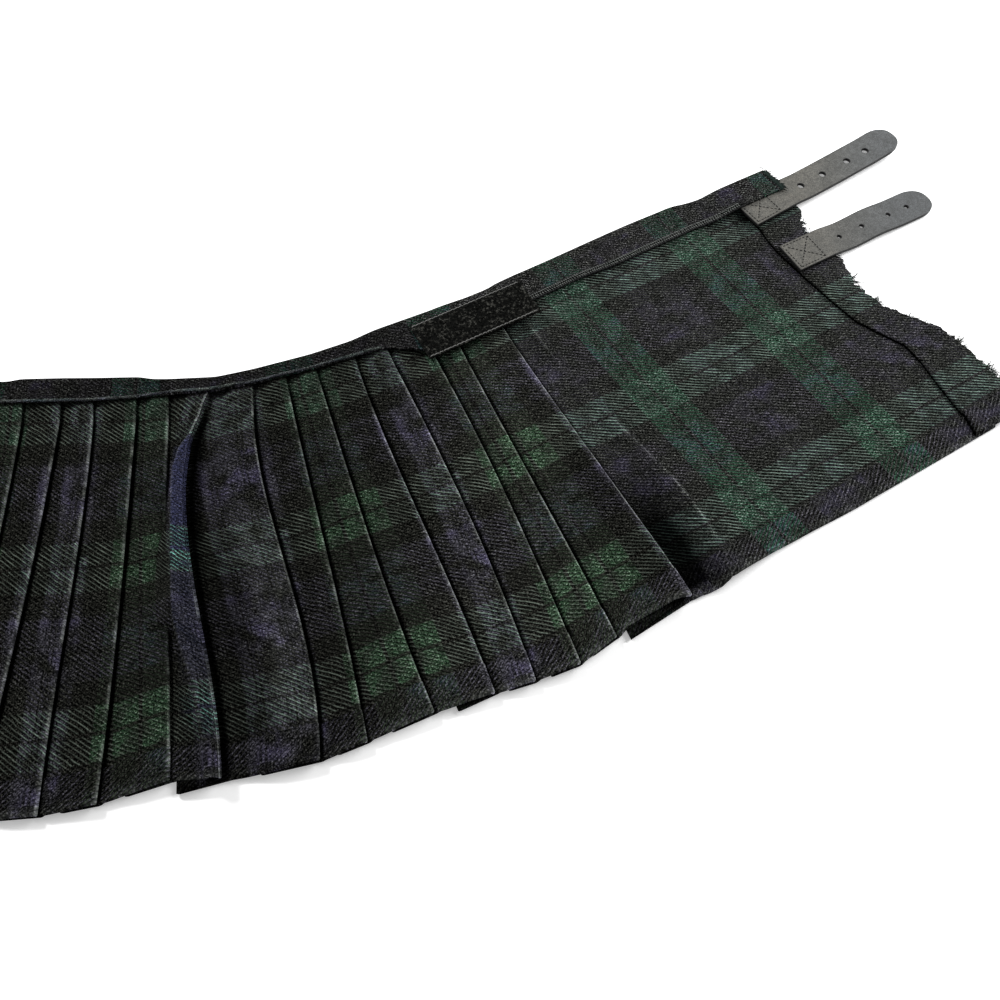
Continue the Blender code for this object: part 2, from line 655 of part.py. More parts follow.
def wire_mesh(name, points, radius, closed):
    """Return the mesh of a round wire through points."""
    curve = bpy.data.curves.new(name, "CURVE")
    curve.dimensions = "3D"
    curve.bevel_depth = radius * MM
    curve.bevel_resolution = 2
    curve.use_fill_caps = True
    spline = curve.splines.new("POLY")
    spline.points.add(len(points) - 1)
    for target, spot in zip(spline.points, points):
        target.co = (*(Vector(spot) * MM), 1.0)
    spline.use_cyclic_u = closed
    return mesh_from_curve(name, curve)


def put(item, x, y, turn):
    """Turn a piece and set it down at its place on the grid."""
    item.location = Vector((x, y, 0.0)) * MM
    item.rotation_euler.z = math.radians(turn)


def build_buckle(which, x, y, turn, collection):
    """Build one buckle under the cloth: folded tab, wire frame with its bar, and prong."""
    bar_height = TAB_LEATHER + GAP + BUCKLE_WIRE
    length, width = BUCKLE_SIZE
    ring = [(px - length / 2, py, bar_height) for px, py in
            rounded_rectangle(length - 2 * BUCKLE_WIRE, width - 2 * BUCKLE_WIRE, BUCKLE_CORNER)]
    frame = add_object(f"buckle_frame_{which}", wire_mesh("ring", ring, BUCKLE_WIRE, True),
                       "steel", collection)
    put(frame, x, y, turn)
    tab_bar = -BUCKLE_WIRE
    wrap = bar_height - TAB_LEATHER / 2
    turn_steps = 6
    lower_leg = bar_height + wrap - TAB_LEATHER - TAB_LEG_GAP
    path = [(tab_bar + TAB_LENGTH, lower_leg), (tab_bar + TAB_MEET, lower_leg),
            (tab_bar + TAB_DIP, TAB_LEATHER / 2)]
    for k in range(turn_steps + 1):
        angle = math.pi / 2 + math.pi * k / turn_steps
        path.append((tab_bar + wrap * math.cos(angle), bar_height - wrap * math.sin(angle)))
    path.append((tab_bar + TAB_LENGTH, bar_height + wrap))
    rows = [[Vector((px, side * TAB_WIDTH / 2, pz)) for px, pz in path] for side in (-1.0, 1.0)]

    def half(_r, _k):
        return TAB_LEATHER / 2

    tab = add_wall(f"buckle_tab_{which}", rows, [Vector((0.0, 1.0, 0.0))] * 2, half, half,
                   "leather", collection)
    put(tab, x, y, turn)
    root = tab_bar - wrap - TAB_LEATHER / 2 - GAP
    prong_height = bar_height - BUCKLE_WIRE - GAP - PRONG_WIRE
    prong = [(root, 0.0, prong_height), (-length - PRONG_OVER, 0.0, prong_height)]
    pin = add_object(f"buckle_prong_{which}", wire_mesh("prong", prong, PRONG_WIRE, False),
                     "steel", collection)
    put(pin, x, y, turn)


def build_garment():
    """Build every piece of the kilt."""
    for item in list(bpy.data.objects):
        bpy.data.objects.remove(item)
    collection = bpy.data.collections.new("scottish_kilt")
    bpy.context.scene.collection.children.link(collection)

    add_cloth("under_apron", under_apron_path(), under_apron_openness, collection)
    add_cloth("pleated_back", pleats_path(), pleat_openness, collection)
    add_cloth("over_apron", over_apron_path(), over_apron_openness, collection)
    build_waistband(collection)
    build_fringe_strip(collection)
    build_fringe(collection)
    band_top = LAYER + band_stack(2.0, 0.0) + GAP + CLOTH
    build_patch("loop_patch", LOOP_PATCH_PLACE, band_top + GAP, "loop_pile", collection)
    build_patch("hook_patch", HOOK_PATCH_PLACE, 0.0, "hook_tape", collection)
    for strap in STRAPS:
        build_strap(strap, collection)
    for which, x, y, turn in BUCKLE_PLACES:
        build_buckle(which, x, y, turn, collection)
    for item in collection.objects:
        item.location -= GRID_MIDDLE * MM


build_garment()
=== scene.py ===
"""A baby's kilt laid flat with its inside up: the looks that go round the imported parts.

The cloth follows one laying-out plan, in millimetres: fold lines run from the waist to the hem, and
a place on the cloth is given by the gap between two of them, the part of the way across it, a
sideways shift and v, which is 0 at the waist and 1 at the hem. Each piece is shaped on that plan
and set down in metres about the middle of the garment.
"""
import sys
import logging
import math
import random
from dataclasses import dataclass, field
from enum import Enum
from typing import Callable, Iterable, Optional, Sequence

import bpy
import numpy as np
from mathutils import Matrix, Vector


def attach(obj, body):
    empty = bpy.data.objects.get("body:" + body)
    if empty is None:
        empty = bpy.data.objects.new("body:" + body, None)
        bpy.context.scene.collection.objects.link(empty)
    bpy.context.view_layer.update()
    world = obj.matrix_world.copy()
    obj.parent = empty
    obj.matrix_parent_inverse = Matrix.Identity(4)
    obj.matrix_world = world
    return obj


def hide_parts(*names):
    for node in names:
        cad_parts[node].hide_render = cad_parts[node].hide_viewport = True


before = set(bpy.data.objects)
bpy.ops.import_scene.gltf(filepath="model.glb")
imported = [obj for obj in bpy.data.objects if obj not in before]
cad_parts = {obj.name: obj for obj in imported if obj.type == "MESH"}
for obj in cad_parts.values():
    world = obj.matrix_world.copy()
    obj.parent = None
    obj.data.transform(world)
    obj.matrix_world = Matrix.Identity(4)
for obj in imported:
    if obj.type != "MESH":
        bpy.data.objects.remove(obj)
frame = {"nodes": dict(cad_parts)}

log = logging.getLogger("kilt")

MM = 0.001
BODY = "root"
GRID_MIDDLE = np.array((0.845, -1.961, 0.0))

# ---- the cloth's plan, in millimetres ---------------------------------------------------------
CLOTH = 1.1
GAP = 0.35
LAYER = CLOTH + GAP
FOLD_RADIUS = LAYER / 2
DROP = 207.0

# Where the turned hem begins, and how much thicker it makes the cloth.
HEM_TOP = 193.0
HEM_FOLD = 0.8

# Where a pleat's hidden layers begin, as part of its gap: for most, and for two deeper ones.
TUCK = 0.4
DEEP_TUCKS = {8: 0.15, 16: 0.15}

# How far the first hidden layers reach back from the under-apron's pressed edge, and how far a
# pleat's front keeps from the edge before it.
APRON_TUCK = 12.0
EDGE_CLEAR = 1.6

# How far the hook patch and the buckles raise the under-apron, at parts of the way across it, and
# the range of v in which that dies away.
HOOK_RISE = 1.95
BUCKLE_RISE = 5.25
UNDER_REACH = (0.0, 0.49, 0.60, 0.66, 0.79, 1.0)
UNDER_RISE = (HOOK_RISE, HOOK_RISE, 0.0, 0.0, BUCKLE_RISE, BUCKLE_RISE)
RISE_FADE = (0.32, 0.58)

# Ranges of v: where the cloth comes down out of the band, where its edges begin to show wear and
# painted highlight and to stand up and its surface to move, where painted shade darkens hidden
# layers at the hem, and the hem's rim, which takes a painted highlight.
BAND_RELEASE = (0.06, 0.11)
BELOW_BAND = (0.03, 0.12)
LIFTED = (0.04, 0.3)
LOOSE = (0.1, 0.3)
HIDDEN_HEM = (0.93, 0.97)
HEM_RIM = (0.985, 1.0)

# Scale of a fold line's bows, which makes one 1 at a third of its length, the other at two thirds.
BOW_SCALE = 27.0 / 2.0

# Numbers of the lines that folds stand on, and of the pleat that stands open.
FIRST_FOLD = 1
OPEN_PLEAT = 8
LAST_FOLD = 17
SOFT_FOLD = 18


@dataclass(frozen=True)
class FoldLine:
    """A line of the plan, from the waist to the hem.

    The bows bend it sideways, lift is how far its edge stands up, peek is how far its hidden layers
    reach below the hem, band is the waistband's width there and rise is the height of the cloth's
    underside over the hardware below it.
    """

    waist_x: float
    waist_y: float
    hem_x: float
    hem_y: float
    upper_bow: float = 0.0
    lower_bow: float = 0.0
    lift: float = 0.0
    peek: float = 0.0
    band: float = 12.7
    rise: float = 0.0


FOLD_LINES = (
    FoldLine(-350.7, 4.6, -385.0, -215.0, rise=HOOK_RISE),
    FoldLine(-185.6, 17.0, -207.0, -199.5, 0.5, 0.0, lift=0.6, rise=BUCKLE_RISE),
    FoldLine(-166.1, 18.0, -181.0, -198.7, 1.0, 1.0, lift=0.4, rise=BUCKLE_RISE),
    FoldLine(-148.6, 21.0, -153.0, -198.5, 2.0, 2.0, lift=0.8, rise=2.0),
    FoldLine(-130.2, 22.7, -125.0, -198.5, 4.0, 4.0, lift=0.4),
    FoldLine(-110.5, 23.2, -104.0, -198.0, 2.8, 2.4, lift=0.8),
    FoldLine(-94.7, 23.2, -77.0, -196.0, 2.5, 1.0, lift=0.5, band=12.4),
    FoldLine(-72.1, 23.7, -53.0, -192.0, 1.2, 1.5, lift=0.9, band=10.9),
    FoldLine(-55.3, 23.7, -24.0, -181.0, -1.6, -0.5, lift=0.6, band=8.4),
    FoldLine(-30.7, 25.1, -1.0, -180.0, -14.7, -7.7, lift=8.0, peek=5.0, band=6.9),
    FoldLine(-12.0, 30.1, 39.0, -171.0, -4.8, 1.2, lift=1.2, band=7.7),
    FoldLine(2.8, 35.0, 59.0, -165.0, 0.0, 0.9, lift=0.5, band=7.9),
    FoldLine(17.5, 39.9, 87.0, -151.0, -1.4, -2.0, lift=0.8, band=8.4),
    FoldLine(37.2, 48.3, 114.0, -143.0, -1.7, -0.1, lift=0.5, peek=2.0, band=9.4),
    FoldLine(52.0, 55.7, 132.0, -137.0, 2.8, 3.5, lift=0.8, band=11.4),
    FoldLine(70.7, 64.5, 152.0, -128.0, 3.1, 2.8, lift=0.5, band=22.4),
    FoldLine(85.5, 71.4, 169.0, -116.0, -0.6, 0.1, lift=0.7, band=22.4),
    FoldLine(109.1, 81.3, 204.0, -96.0, -1.8, 0.1, lift=1.5, peek=5.5, band=20.4),
    FoldLine(122.9, 90.8, 227.0, -87.0, -3.7, 5.0, band=19.4),
    FoldLine(260.1, 168.3, 370.0, -0.6, band=17.4),
)

# How much lower the hem hangs than its line, as (fold line, millimetres).
HEM_SAG = (
    (3.0, 1.0), (4.0, 1.2), (6.0, 1.0), (7.0, 0.4),
    (9.0, 2.1), (9.5, 3.0), (10.0, 2.6), (11.0, 0.7),
    (12.0, 1.6), (13.0, 0.8), (14.0, 1.2), (15.0, 2.2), (16.0, 1.5), (16.08, -0.6), (16.5, -0.4),
    (16.85, 0.0), (16.97, 2.0), (17.0, 2.4), (17.7, 1.8), (18.0, -0.3), (18.15, -1.3), (18.3, -0.8),
    (18.45, 0.3), (19.0, 0.6),
)

# How sharp the crest of the over-apron's soft fold is and how much painted highlight it takes,
# as (v, amount), and the fold's height, as (v, height).
SOFT_FOLD_LINE = (
    (0.07, 0.0), (0.10, 0.6), (0.22, 0.6), (0.28, 0.1), (0.4, 0.1), (0.47, 0.5), (0.7, 0.6),
    (0.78, 1.0), (0.87, 1.0), (0.9, 0.2), (1.0, 0.3),
)
SOFT_FOLD_HEIGHTS = ((0.11, 0.0), (0.2, 2.2), (0.3, 0.8), (0.5, 1.2), (0.75, 3.6), (1.0, 4.6))

# The over-apron's length along the waist, from its soft fold to its free edge.
APRON_WAIST = 157.5

# How far the waistband reaches above the cloth's own waist edge, as (fold line, millimetres).
BAND_ABOVE = (
    (0.0, 0.0), (3.5, 0.0), (4.0, 1.6), (7.0, 1.8), (7.6, 0.6), (13.0, 0.6), (14.0, 1.5),
    (15.5, 1.3), (16.5, 1.8), (17.0, 2.6), (17.6, 3.6), (18.05, 4.3), (18.5, 5.2), (18.68, 4.7),
    (18.83, 0.2), (19.9, 0.2),
)
# How much of that widens its inside too, as (fold line, part).
BAND_WIDER = ((17.2, 1.0), (17.8, 0.0), (18.2, 0.0), (18.4, 0.45))

# The open pleat's ridge, as (v, the part of its gap where the ridge stands).
RIDGE_LINE = (
    (0.0, 1.0), (0.10, 1.0), (0.165, 0.93), (0.205, 0.56), (0.27, 0.26), (0.33, 0.22),
    (0.46, 0.13), (0.61, 0.07), (0.66, 0.11), (0.74, 0.37), (0.82, 0.62), (1.0, 0.78),
)
# The height of that ridge above the pleat's own level, as (v, height).
RIDGE_HEIGHTS = (
    (0.0, 0.0), (0.08, 1.0), (0.2, 6.0), (0.32, 7.6), (0.6, 7.6), (0.8, 6.0), (1.0, 5.2),
)
# How much painted highlight lies along its lit top, as a brighter weft, and along its crest, as
# (v, amount).
RIBBON_PAINTED_LIGHT = (
    (0.0, 0.0), (0.15, 0.0), (0.2, 1.0), (0.52, 1.0), (0.54, 0.3), (0.74, 0.25), (0.82, 0.1),
    (0.84, 0.5), (0.91, 0.4), (0.93, 0.0), (1.0, 0.0),
)
RIBBON_CREST_HIGHLIGHT = ((0.0, 0.5), (0.04, 0.9), (0.3, 0.8), (0.38, 0.25), (1.0, 0.25))
# How much painted light or shade lies across the pleat beyond it, as (part of its gap, amount).
OPEN_PLEAT_LIGHT_AND_SHADE = (
    (0.0, 0.0), (0.12, -0.45), (0.38, -0.4), (0.52, 0.0), (0.62, 0.18), (0.94, 0.18), (1.0, 0.1),
)

# The tartan's place on each pleat: the sett's own coordinate at the pleat's right-hand edge. On the
# over-apron it is given at the free edge, and down the cloth at the waist, each with its scale.
SETT_AT_EDGE = {
    0: 60.0, 1: 20.0, 2: 50.0, 3: 4.5, 4: 27.7, 5: 35.2, 6: -7.8, 7: 12.0, 8: 35.0, 9: 54.5,
    10: -9.5, 11: 10.0, 12: 26.0, 13: 37.4, 14: -8.0, 15: 7.0, 16: 27.0,
}
APRON_SETT_EDGE = 53.0
APRON_SETT_SCALE = 79.0 / 80.6
WEFT_START = 22.0
WEFT_SCALE = 79.0 / 78.0


def eased(value: np.ndarray | float, low: float, high: float) -> np.ndarray | float:
    """Ease from 0 at low to 1 at high.

    Args:
        value: number or array to ease.
        low: value at which the step starts.
        high: value at which it ends.

    Returns:
        The eased amount, from 0 to 1.
    """
    t = np.clip((np.asarray(value, float) - low) / (high - low), 0.0, 1.0)
    return t * t * (3.0 - 2.0 * t)


def from_table(table: Sequence[tuple[float, float]], value: np.ndarray | float) -> np.ndarray:
    """Read a table of (place, amount) pairs with straight lines between its rows.

    Args:
        table: the pairs, in order of place.
        value: where to read it.

    Returns:
        The amounts there.
    """
    places, amounts = zip(*table)
    return np.interp(value, places, amounts)


def eased_table(table: Sequence[tuple[float, float]], value: np.ndarray) -> np.ndarray:
    """Read a table of (place, amount) pairs with an eased step between its rows.

    Args:
        table: the pairs, in order of place.
        value: where to read it.

    Returns:
        The amounts there.
    """
    found = np.full(np.shape(value), float(table[0][1]))
    for (start, low), (end, high) in zip(table, table[1:]):
        found = np.where(value >= start, low + (high - low) * eased(value, start, end), found)
    return found


@dataclass(frozen=True)
class Station:
    """A column of the cloth's grid.

    gap, part and shift give its place across the plan, level counts the layers below it, hem says
    how much of the turned hem shows there, edge how much wear and painted highlight it has near a
    pressed edge, or below zero how much painted shade, and ahead how far the cloth's own pattern
    runs on past the pleat's edge.
    """

    gap: int
    part: float
    shift: float = 0.0
    level: float = 0.0
    hem: float = 0.0
    edge: float = 0.0
    ahead: float = 0.0


class Plan:
    """The laying-out plan that every cloth piece is shaped on."""

    def fold(self, index: int, v: np.ndarray) -> np.ndarray:
        """Return the places of a fold line.

        Args:
            index: which line.
            v: places along it, as a column of numbers.

        Returns:
            One (x, y) for each of them.
        """
        line = FOLD_LINES[index]
        waist = np.array((line.waist_x, line.waist_y))
        hem = np.array((line.hem_x, line.hem_y))
        run = hem - waist
        side = np.array((-run[1], run[0])) / np.hypot(*run)
        v = np.asarray(v, float)[..., None]
        upper = BOW_SCALE * v * (1.0 - v) * (2.0 / 3.0 - v)
        lower = BOW_SCALE * v * (1.0 - v) * (v - 1.0 / 3.0)
        return waist + run * v + side * (line.upper_bow * upper + line.lower_bow * lower)

    def width(self, gap: int, v: np.ndarray) -> np.ndarray:
        """Return a gap's width at each v."""
        return np.linalg.norm(self.fold(gap + 1, v) - self.fold(gap, v), axis=-1)

    def place(self, gap: int, part: np.ndarray | float, shift: np.ndarray | float,
              v: np.ndarray) -> np.ndarray:
        """Return the places at a part of a gap, moved sideways by shift.

        Args:
            gap: which gap.
            part: part of the way across it.
            shift: millimetres to the right of that.
            v: places down the cloth.

        Returns:
            One (x, y) for each v.
        """
        left = self.fold(gap, v)
        across = self.fold(gap + 1, v) - left
        unit = across / np.linalg.norm(across, axis=-1, keepdims=True)
        part = np.asarray(part, float)[..., None]
        shift = np.asarray(shift, float)[..., None]
        return left + across * part + unit * shift

    def down(self, gap: int, part: float) -> np.ndarray:
        """Return the direction from the waist to the hem.

        Args:
            gap: which gap.
            part: part of the way across it.

        Returns:
            The direction, one millimetre long.
        """
        run = self.place(gap, part, 0.0, np.array((0.0, 1.0)))
        step = run[1] - run[0]
        return step / np.hypot(*step)

    def rest(self, gap: int, part: np.ndarray | float, shift: float, v: np.ndarray) -> np.ndarray:
        """Return the height of the underside of the lowest layer.

        Args:
            gap: which gap.
            part: part of the way across it.
            shift: millimetres to the right of that.
            v: places down the cloth.

        Returns:
            The heights.
        """
        reach = part + shift / self.width(gap, v)
        if gap < FIRST_FOLD:
            rise = np.interp(reach, UNDER_REACH, UNDER_RISE)
        else:
            rise = FOLD_LINES[gap].rise * (1.0 - reach) + FOLD_LINES[gap + 1].rise * reach
        released = LAYER * (1.0 - eased(v, *BAND_RELEASE))
        return rise * (1.0 - eased(v, *RISE_FADE)) + released

    def band(self, gap: int, part: float) -> float:
        """Return the waistband's width."""
        return FOLD_LINES[gap].band * (1.0 - part) + FOLD_LINES[gap + 1].band * part

    def sett(self, station: Station, v: np.ndarray) -> np.ndarray:
        """Return the tartan's coordinate across the cloth.

        Args:
            station: the column.
            v: places down the cloth.

        Returns:
            The coordinate in millimetres of the sett.
        """
        inside = (1.0 - station.part) * self.width(station.gap, v) - station.shift
        if station.gap == SOFT_FOLD:
            return (APRON_SETT_EDGE - inside) * APRON_SETT_SCALE
        if station.gap == LAST_FOLD:
            return (APRON_SETT_EDGE - inside - self.width(SOFT_FOLD, v)) * APRON_SETT_SCALE
        return SETT_AT_EDGE[station.gap] - inside + station.ahead


PLAN = Plan()


@dataclass(frozen=True)
class Crease:
    """A soft ridge or trough on the cloth, from one place to another.

    gap and the ends, as (part, v), give its place; height is how far it stands up, and width is the
    distance in millimetres over which it dies away.
    """

    gap: int
    start: tuple[float, float]
    end: tuple[float, float]
    height: float
    width: float

    def over(self, gap: int, part: float, v: np.ndarray) -> np.ndarray:
        """Return its height at places in a gap.

        Args:
            gap: which gap.
            part: part of the way across it.
            v: places down the cloth.

        Returns:
            The heights.
        """
        if gap != self.gap:
            return np.zeros_like(v)
        run_across = float(np.mean(PLAN.width(gap, v)))
        start = np.array((self.start[0] * run_across, self.start[1] * DROP))
        end = np.array((self.end[0] * run_across, self.end[1] * DROP))
        spot = np.stack((np.full_like(v, part * run_across), v * DROP), axis=-1)
        run = end - start
        along = np.clip(((spot - start) @ run) / float(run @ run), 0.0, 1.0)
        away = np.linalg.norm(spot - (start + along[:, None] * run), axis=-1)
        fade = np.sin(np.pi * np.clip(along * 0.9 + 0.05, 0.0, 1.0)) ** 0.6
        return self.height * fade * np.exp(-((away / self.width) ** 2))


class Unevenness:
    """Small soft swellings of hand-laid cloth, the same on each run."""

    def __init__(self, seed: int, count: int, height: float) -> None:
        """Lay the swellings out.

        Args:
            seed: start of the random numbers.
            count: how many there are.
            height: height of the tallest.
        """
        rng = random.Random(seed)
        self.spots = [
            (rng.uniform(-390.0, 390.0), rng.uniform(-215.0, 175.0), rng.uniform(5.0, 15.0),
             rng.uniform(14.0, 40.0), rng.uniform(-0.35, 0.1), height * rng.uniform(0.2, 1.0))
            for _ in range(count)
        ]

    def over(self, spot: np.ndarray) -> np.ndarray:
        """Return the height at places on the plan.

        Args:
            spot: one (x, y) for each.

        Returns:
            The heights.
        """
        total = np.zeros(len(spot))
        for x, y, narrow, long, turn, height in self.spots:
            east = spot[:, 0] - x
            north = spot[:, 1] - y
            across = (east * math.cos(turn) - north * math.sin(turn)) / narrow
            along = (east * math.sin(turn) + north * math.cos(turn)) / long
            total = total + height * np.exp(-(across ** 2) - along ** 2)
        return total


# ---- shader expressions -----------------------------------------------------------------------
class Shade:
    """A number in a material, written as a Python expression."""

    def __init__(self, graph: "Graph", socket: bpy.types.NodeSocket) -> None:
        """Wrap an output socket of the graph."""
        self.graph = graph
        self.socket = socket

    def apply(self, operation: str, *others: "Shade | float", first: "Shade | float | None" = None
              ) -> "Shade":
        """Add a Math node.

        Args:
            operation: the Math node's operation.
            others: its inputs after the first.
            first: its first input, when that isn't this value.

        Returns:
            The node's result.
        """
        sources = [self if first is None else first, *others]
        return self.graph.value("ShaderNodeMath", {"operation": operation},
                                dict(enumerate(sources)))

    def __add__(self, other: "Shade | float") -> "Shade":
        """Return the sum."""
        return self.apply("ADD", other)

    __radd__ = __add__

    def __sub__(self, other: "Shade | float") -> "Shade":
        """Return the difference."""
        return self.apply("SUBTRACT", other)

    def __rsub__(self, other: float) -> "Shade":
        """Return the difference from a number."""
        return self.apply("SUBTRACT", self, first=other)

    def __mul__(self, other: "Shade | float") -> "Shade":
        """Return the product."""
        return self.apply("MULTIPLY", other)

    __rmul__ = __mul__

    def __truediv__(self, other: "Shade | float") -> "Shade":
        """Return the quotient."""
        return self.apply("DIVIDE", other)

    def __pow__(self, other: "Shade | float") -> "Shade":
        """Return the power."""
        return self.apply("POWER", other)

    def __mod__(self, other: float) -> "Shade":
        """Return the remainder, never below 0."""
        return self.apply("FLOORED_MODULO", other)

    def __lt__(self, other: "Shade | float") -> "Shade":
        """Return 1 where this is less."""
        return self.apply("LESS_THAN", other)

    def __abs__(self) -> "Shade":
        """Return the size without its sign."""
        return self.apply("ABSOLUTE")

    def wave(self) -> "Shade":
        """Return its sine."""
        return self.apply("SINE")

    def whole(self) -> "Shade":
        """Return it rounded down."""
        return self.apply("FLOOR")

    def held(self) -> "Shade":
        """Return it kept between 0 and 1."""
        return self.apply("MINIMUM", 1.0).apply("MAXIMUM", 0.0)

    def ramp(self, low: float, high: float) -> "Shade":
        """Return an eased step from 0 at low to 1 at high."""
        limits = {"Value": self, "From Min": low, "From Max": high}
        return self.graph.value("ShaderNodeMapRange", {"interpolation_type": "SMOOTHSTEP"}, limits,
                                "Result")


Colour = tuple[float, float, float]


class Graph:
    """The nodes of one material."""

    def __init__(self, name: str, roughness: float, metallic: float = 0.0, specular: float = 0.5
                 ) -> None:
        """Start a material with a Principled shader.

        Args:
            name: the material's name.
            roughness: its roughness all over.
            metallic: its metalness all over.
            specular: its specular level.
        """
        self.material = bpy.data.materials.new(name)
        self.material.use_nodes = True
        self.tree = self.material.node_tree
        self.shader = self.tree.nodes["Principled BSDF"]
        self.shader.inputs["Roughness"].default_value = roughness
        self.shader.inputs["Metallic"].default_value = metallic
        self.shader.inputs["Specular IOR Level"].default_value = specular

    def node(self, kind: str, settings: dict[str, object], inputs: dict[int | str, object]
             ) -> bpy.types.Node:
        """Add a node.

        Args:
            kind: its type.
            settings: its own settings.
            inputs: a number, a colour or a link for each socket.

        Returns:
            The node.
        """
        node = self.tree.nodes.new(kind)
        for name, setting in settings.items():
            setattr(node, name, setting)
        for key, source in inputs.items():
            socket = node.inputs[key]
            if isinstance(source, Shade):
                source = source.socket
            if isinstance(source, bpy.types.NodeSocket):
                self.tree.links.new(source, socket)
            else:
                socket.default_value = source
        return node

    def value(self, kind: str, settings: dict[str, object], inputs: dict[int | str, object],
              output: int | str = 0) -> Shade:
        """Add a node and return one of its outputs as a number.

        Args:
            kind: its type.
            settings: its own settings.
            inputs: a number, a colour or a link for each socket.
            output: which output.

        Returns:
            That output.
        """
        return Shade(self, self.node(kind, settings, inputs).outputs[output])

    def mix(self, share: Shade | float, base: object, other: object) -> bpy.types.NodeSocket:
        """Mix two colours.

        Args:
            share: how much of the second.
            base: the first colour or its socket.
            other: the second.

        Returns:
            The mixed colour's socket.
        """
        sockets = {0: share, 6: self.full(base), 7: self.full(other)}
        return self.node("ShaderNodeMix", {"data_type": "RGBA"}, sockets).outputs[2]

    def full(self, colour: object) -> object:
        """Give a plain colour its fourth number."""
        return (*colour, 1.0) if isinstance(colour, tuple) and len(colour) == 3 else colour

    def scaled(self, colour: object, amount: Shade) -> bpy.types.NodeSocket:
        """Return a colour made lighter or darker by a number."""
        return self.combined("MULTIPLY", colour, self.together(amount, amount, amount))

    def added(self, one: bpy.types.NodeSocket, other: bpy.types.NodeSocket) -> bpy.types.NodeSocket:
        """Return two colours added together."""
        return self.combined("ADD", one, other)

    def combined(self, operation: str, one: object, other: object) -> bpy.types.NodeSocket:
        """Return two colours worked out number by number."""
        return self.node("ShaderNodeVectorMath", {"operation": operation}, {0: one, 1: other}
                         ).outputs[0]

    def cloth_place(self) -> tuple[Shade, Shade, bpy.types.NodeSocket]:
        """Find the place on the piece's own pattern, in millimetres.

        Returns:
            The place across, the place down and both together.
        """
        spot = self.node("ShaderNodeUVMap", {"uv_map": "UVMap"}, {}).outputs["UV"]
        parts = self.node("ShaderNodeSeparateXYZ", {}, {0: spot})
        return Shade(self, parts.outputs[0]), Shade(self, parts.outputs[1]), spot

    def solid_place(self) -> bpy.types.NodeSocket:
        """Return the place in the object, in metres."""
        return self.node("ShaderNodeTexCoord", {}, {}).outputs["Object"]

    def east(self) -> Shade:
        """Return the place in the object along x, in metres."""
        return self.value("ShaderNodeSeparateXYZ", {}, {0: self.solid_place()}, 0)

    def together(self, x: Shade | float, y: Shade | float, z: Shade | float = 0.0
                 ) -> bpy.types.NodeSocket:
        """Return a vector of three numbers."""
        return self.node("ShaderNodeCombineXYZ", {}, {0: x, 1: y, 2: z}).outputs[0]

    def attribute(self, name: str) -> Shade:
        """Return a number that the piece keeps at its points."""
        return self.value("ShaderNodeAttribute", {"attribute_name": name}, {}, "Fac")

    def speckle(self, place: bpy.types.NodeSocket, scale: float, detail: float = 2.0,
                roughness: float = 0.5) -> Shade:
        """Return noise from 0 to 1.

        Args:
            place: where it is read.
            scale: how many of its grains there are to one unit.
            detail: how many finer layers it has.
            roughness: how strong those are.

        Returns:
            The noise.
        """
        return self.value("ShaderNodeTexNoise", {"noise_dimensions": "3D"},
                          {"Vector": place, "Scale": scale, "Detail": detail,
                           "Roughness": roughness}, "Fac")

    def chance(self, x: Shade | float, y: Shade | float) -> Shade:
        """Return an even random number for each pair of whole numbers."""
        return self.value("ShaderNodeTexWhiteNoise", {"noise_dimensions": "2D"},
                          {"Vector": self.together(x, y)}, "Value")

    def finish(self, colour: object, height: Optional[Shade] = None, depth: float = 0.0004,
               strength: float = 1.0, roughness: Optional[Shade] = None) -> bpy.types.Material:
        """Join the colour, relief and roughness to the shader.

        Args:
            colour: the base colour or its socket.
            height: relief from 0 to 1.
            depth: depth of that relief in metres.
            strength: how strongly it shows.
            roughness: roughness where it varies.

        Returns:
            The material.
        """
        if isinstance(colour, bpy.types.NodeSocket):
            self.tree.links.new(colour, self.shader.inputs["Base Color"])
        else:
            self.shader.inputs["Base Color"].default_value = self.full(colour)
        if height is not None:
            bump = self.node("ShaderNodeBump", {}, {"Strength": strength, "Distance": depth,
                                                    "Height": height})
            self.tree.links.new(bump.outputs[0], self.shader.inputs["Normal"])
        if roughness is not None:
            self.tree.links.new(roughness.socket, self.shader.inputs["Roughness"])
        return self.material


@dataclass(frozen=True)
class Dyes:
    """The colours of the threads that run one way."""

    black: Colour
    green: Colour
    blue: Colour

    def times(self, amount: float) -> "Dyes":
        """Return the same colours lighter or darker."""
        return Dyes(*(tuple(amount * part for part in dye)
                      for dye in (self.black, self.green, self.blue)))


@dataclass(frozen=True)
class Stripes:
    """How far the threads at a place are green, and how far blue."""

    green: Shade
    blue: Shade


class Twill:
    """The lines, threads and fuzz of a two-and-two twill, as numbers in a material."""

    def __init__(self, graph: Graph, wale: float, lean: float, yarn: float) -> None:
        """Work the weave out from the piece's own pattern place.

        Args:
            graph: the material's nodes.
            wale: spacing of the twill's lines down the cloth.
            lean: their slope.
            yarn: spacing of the threads.
        """
        self.across, self.down, self.place = graph.cloth_place()
        slow = graph.speckle(self.place, 0.12, 1.0)
        quick = graph.speckle(self.place, 0.8, 1.0)
        turn = (self.across * lean - self.down + slow * 1.3 + quick * 0.2) * (1.0 / wale)
        self.crest = (turn * math.pi).wave() ** 2.0
        self.line = self.crest ** 4.5
        self.fuzz = graph.speckle(graph.together(self.across * 1.3, self.down * 1.3), 1.0, 3.0, 0.7)
        self.grain = self.fuzz.ramp(0.40, 0.66)
        thread = (self.across / yarn).whole()
        pick = (self.down / yarn).whole()
        self.warp_yarn = graph.chance(thread, pick * 0.5)
        self.weft_yarn = graph.chance(pick + 5.0, (thread / 3.0).whole() + 37.0)
        streak = graph.speckle(graph.together(turn.whole() * 3.7, self.across * 0.14), 1.0, 2.0)
        self.streak = streak.ramp(0.36, 0.64)


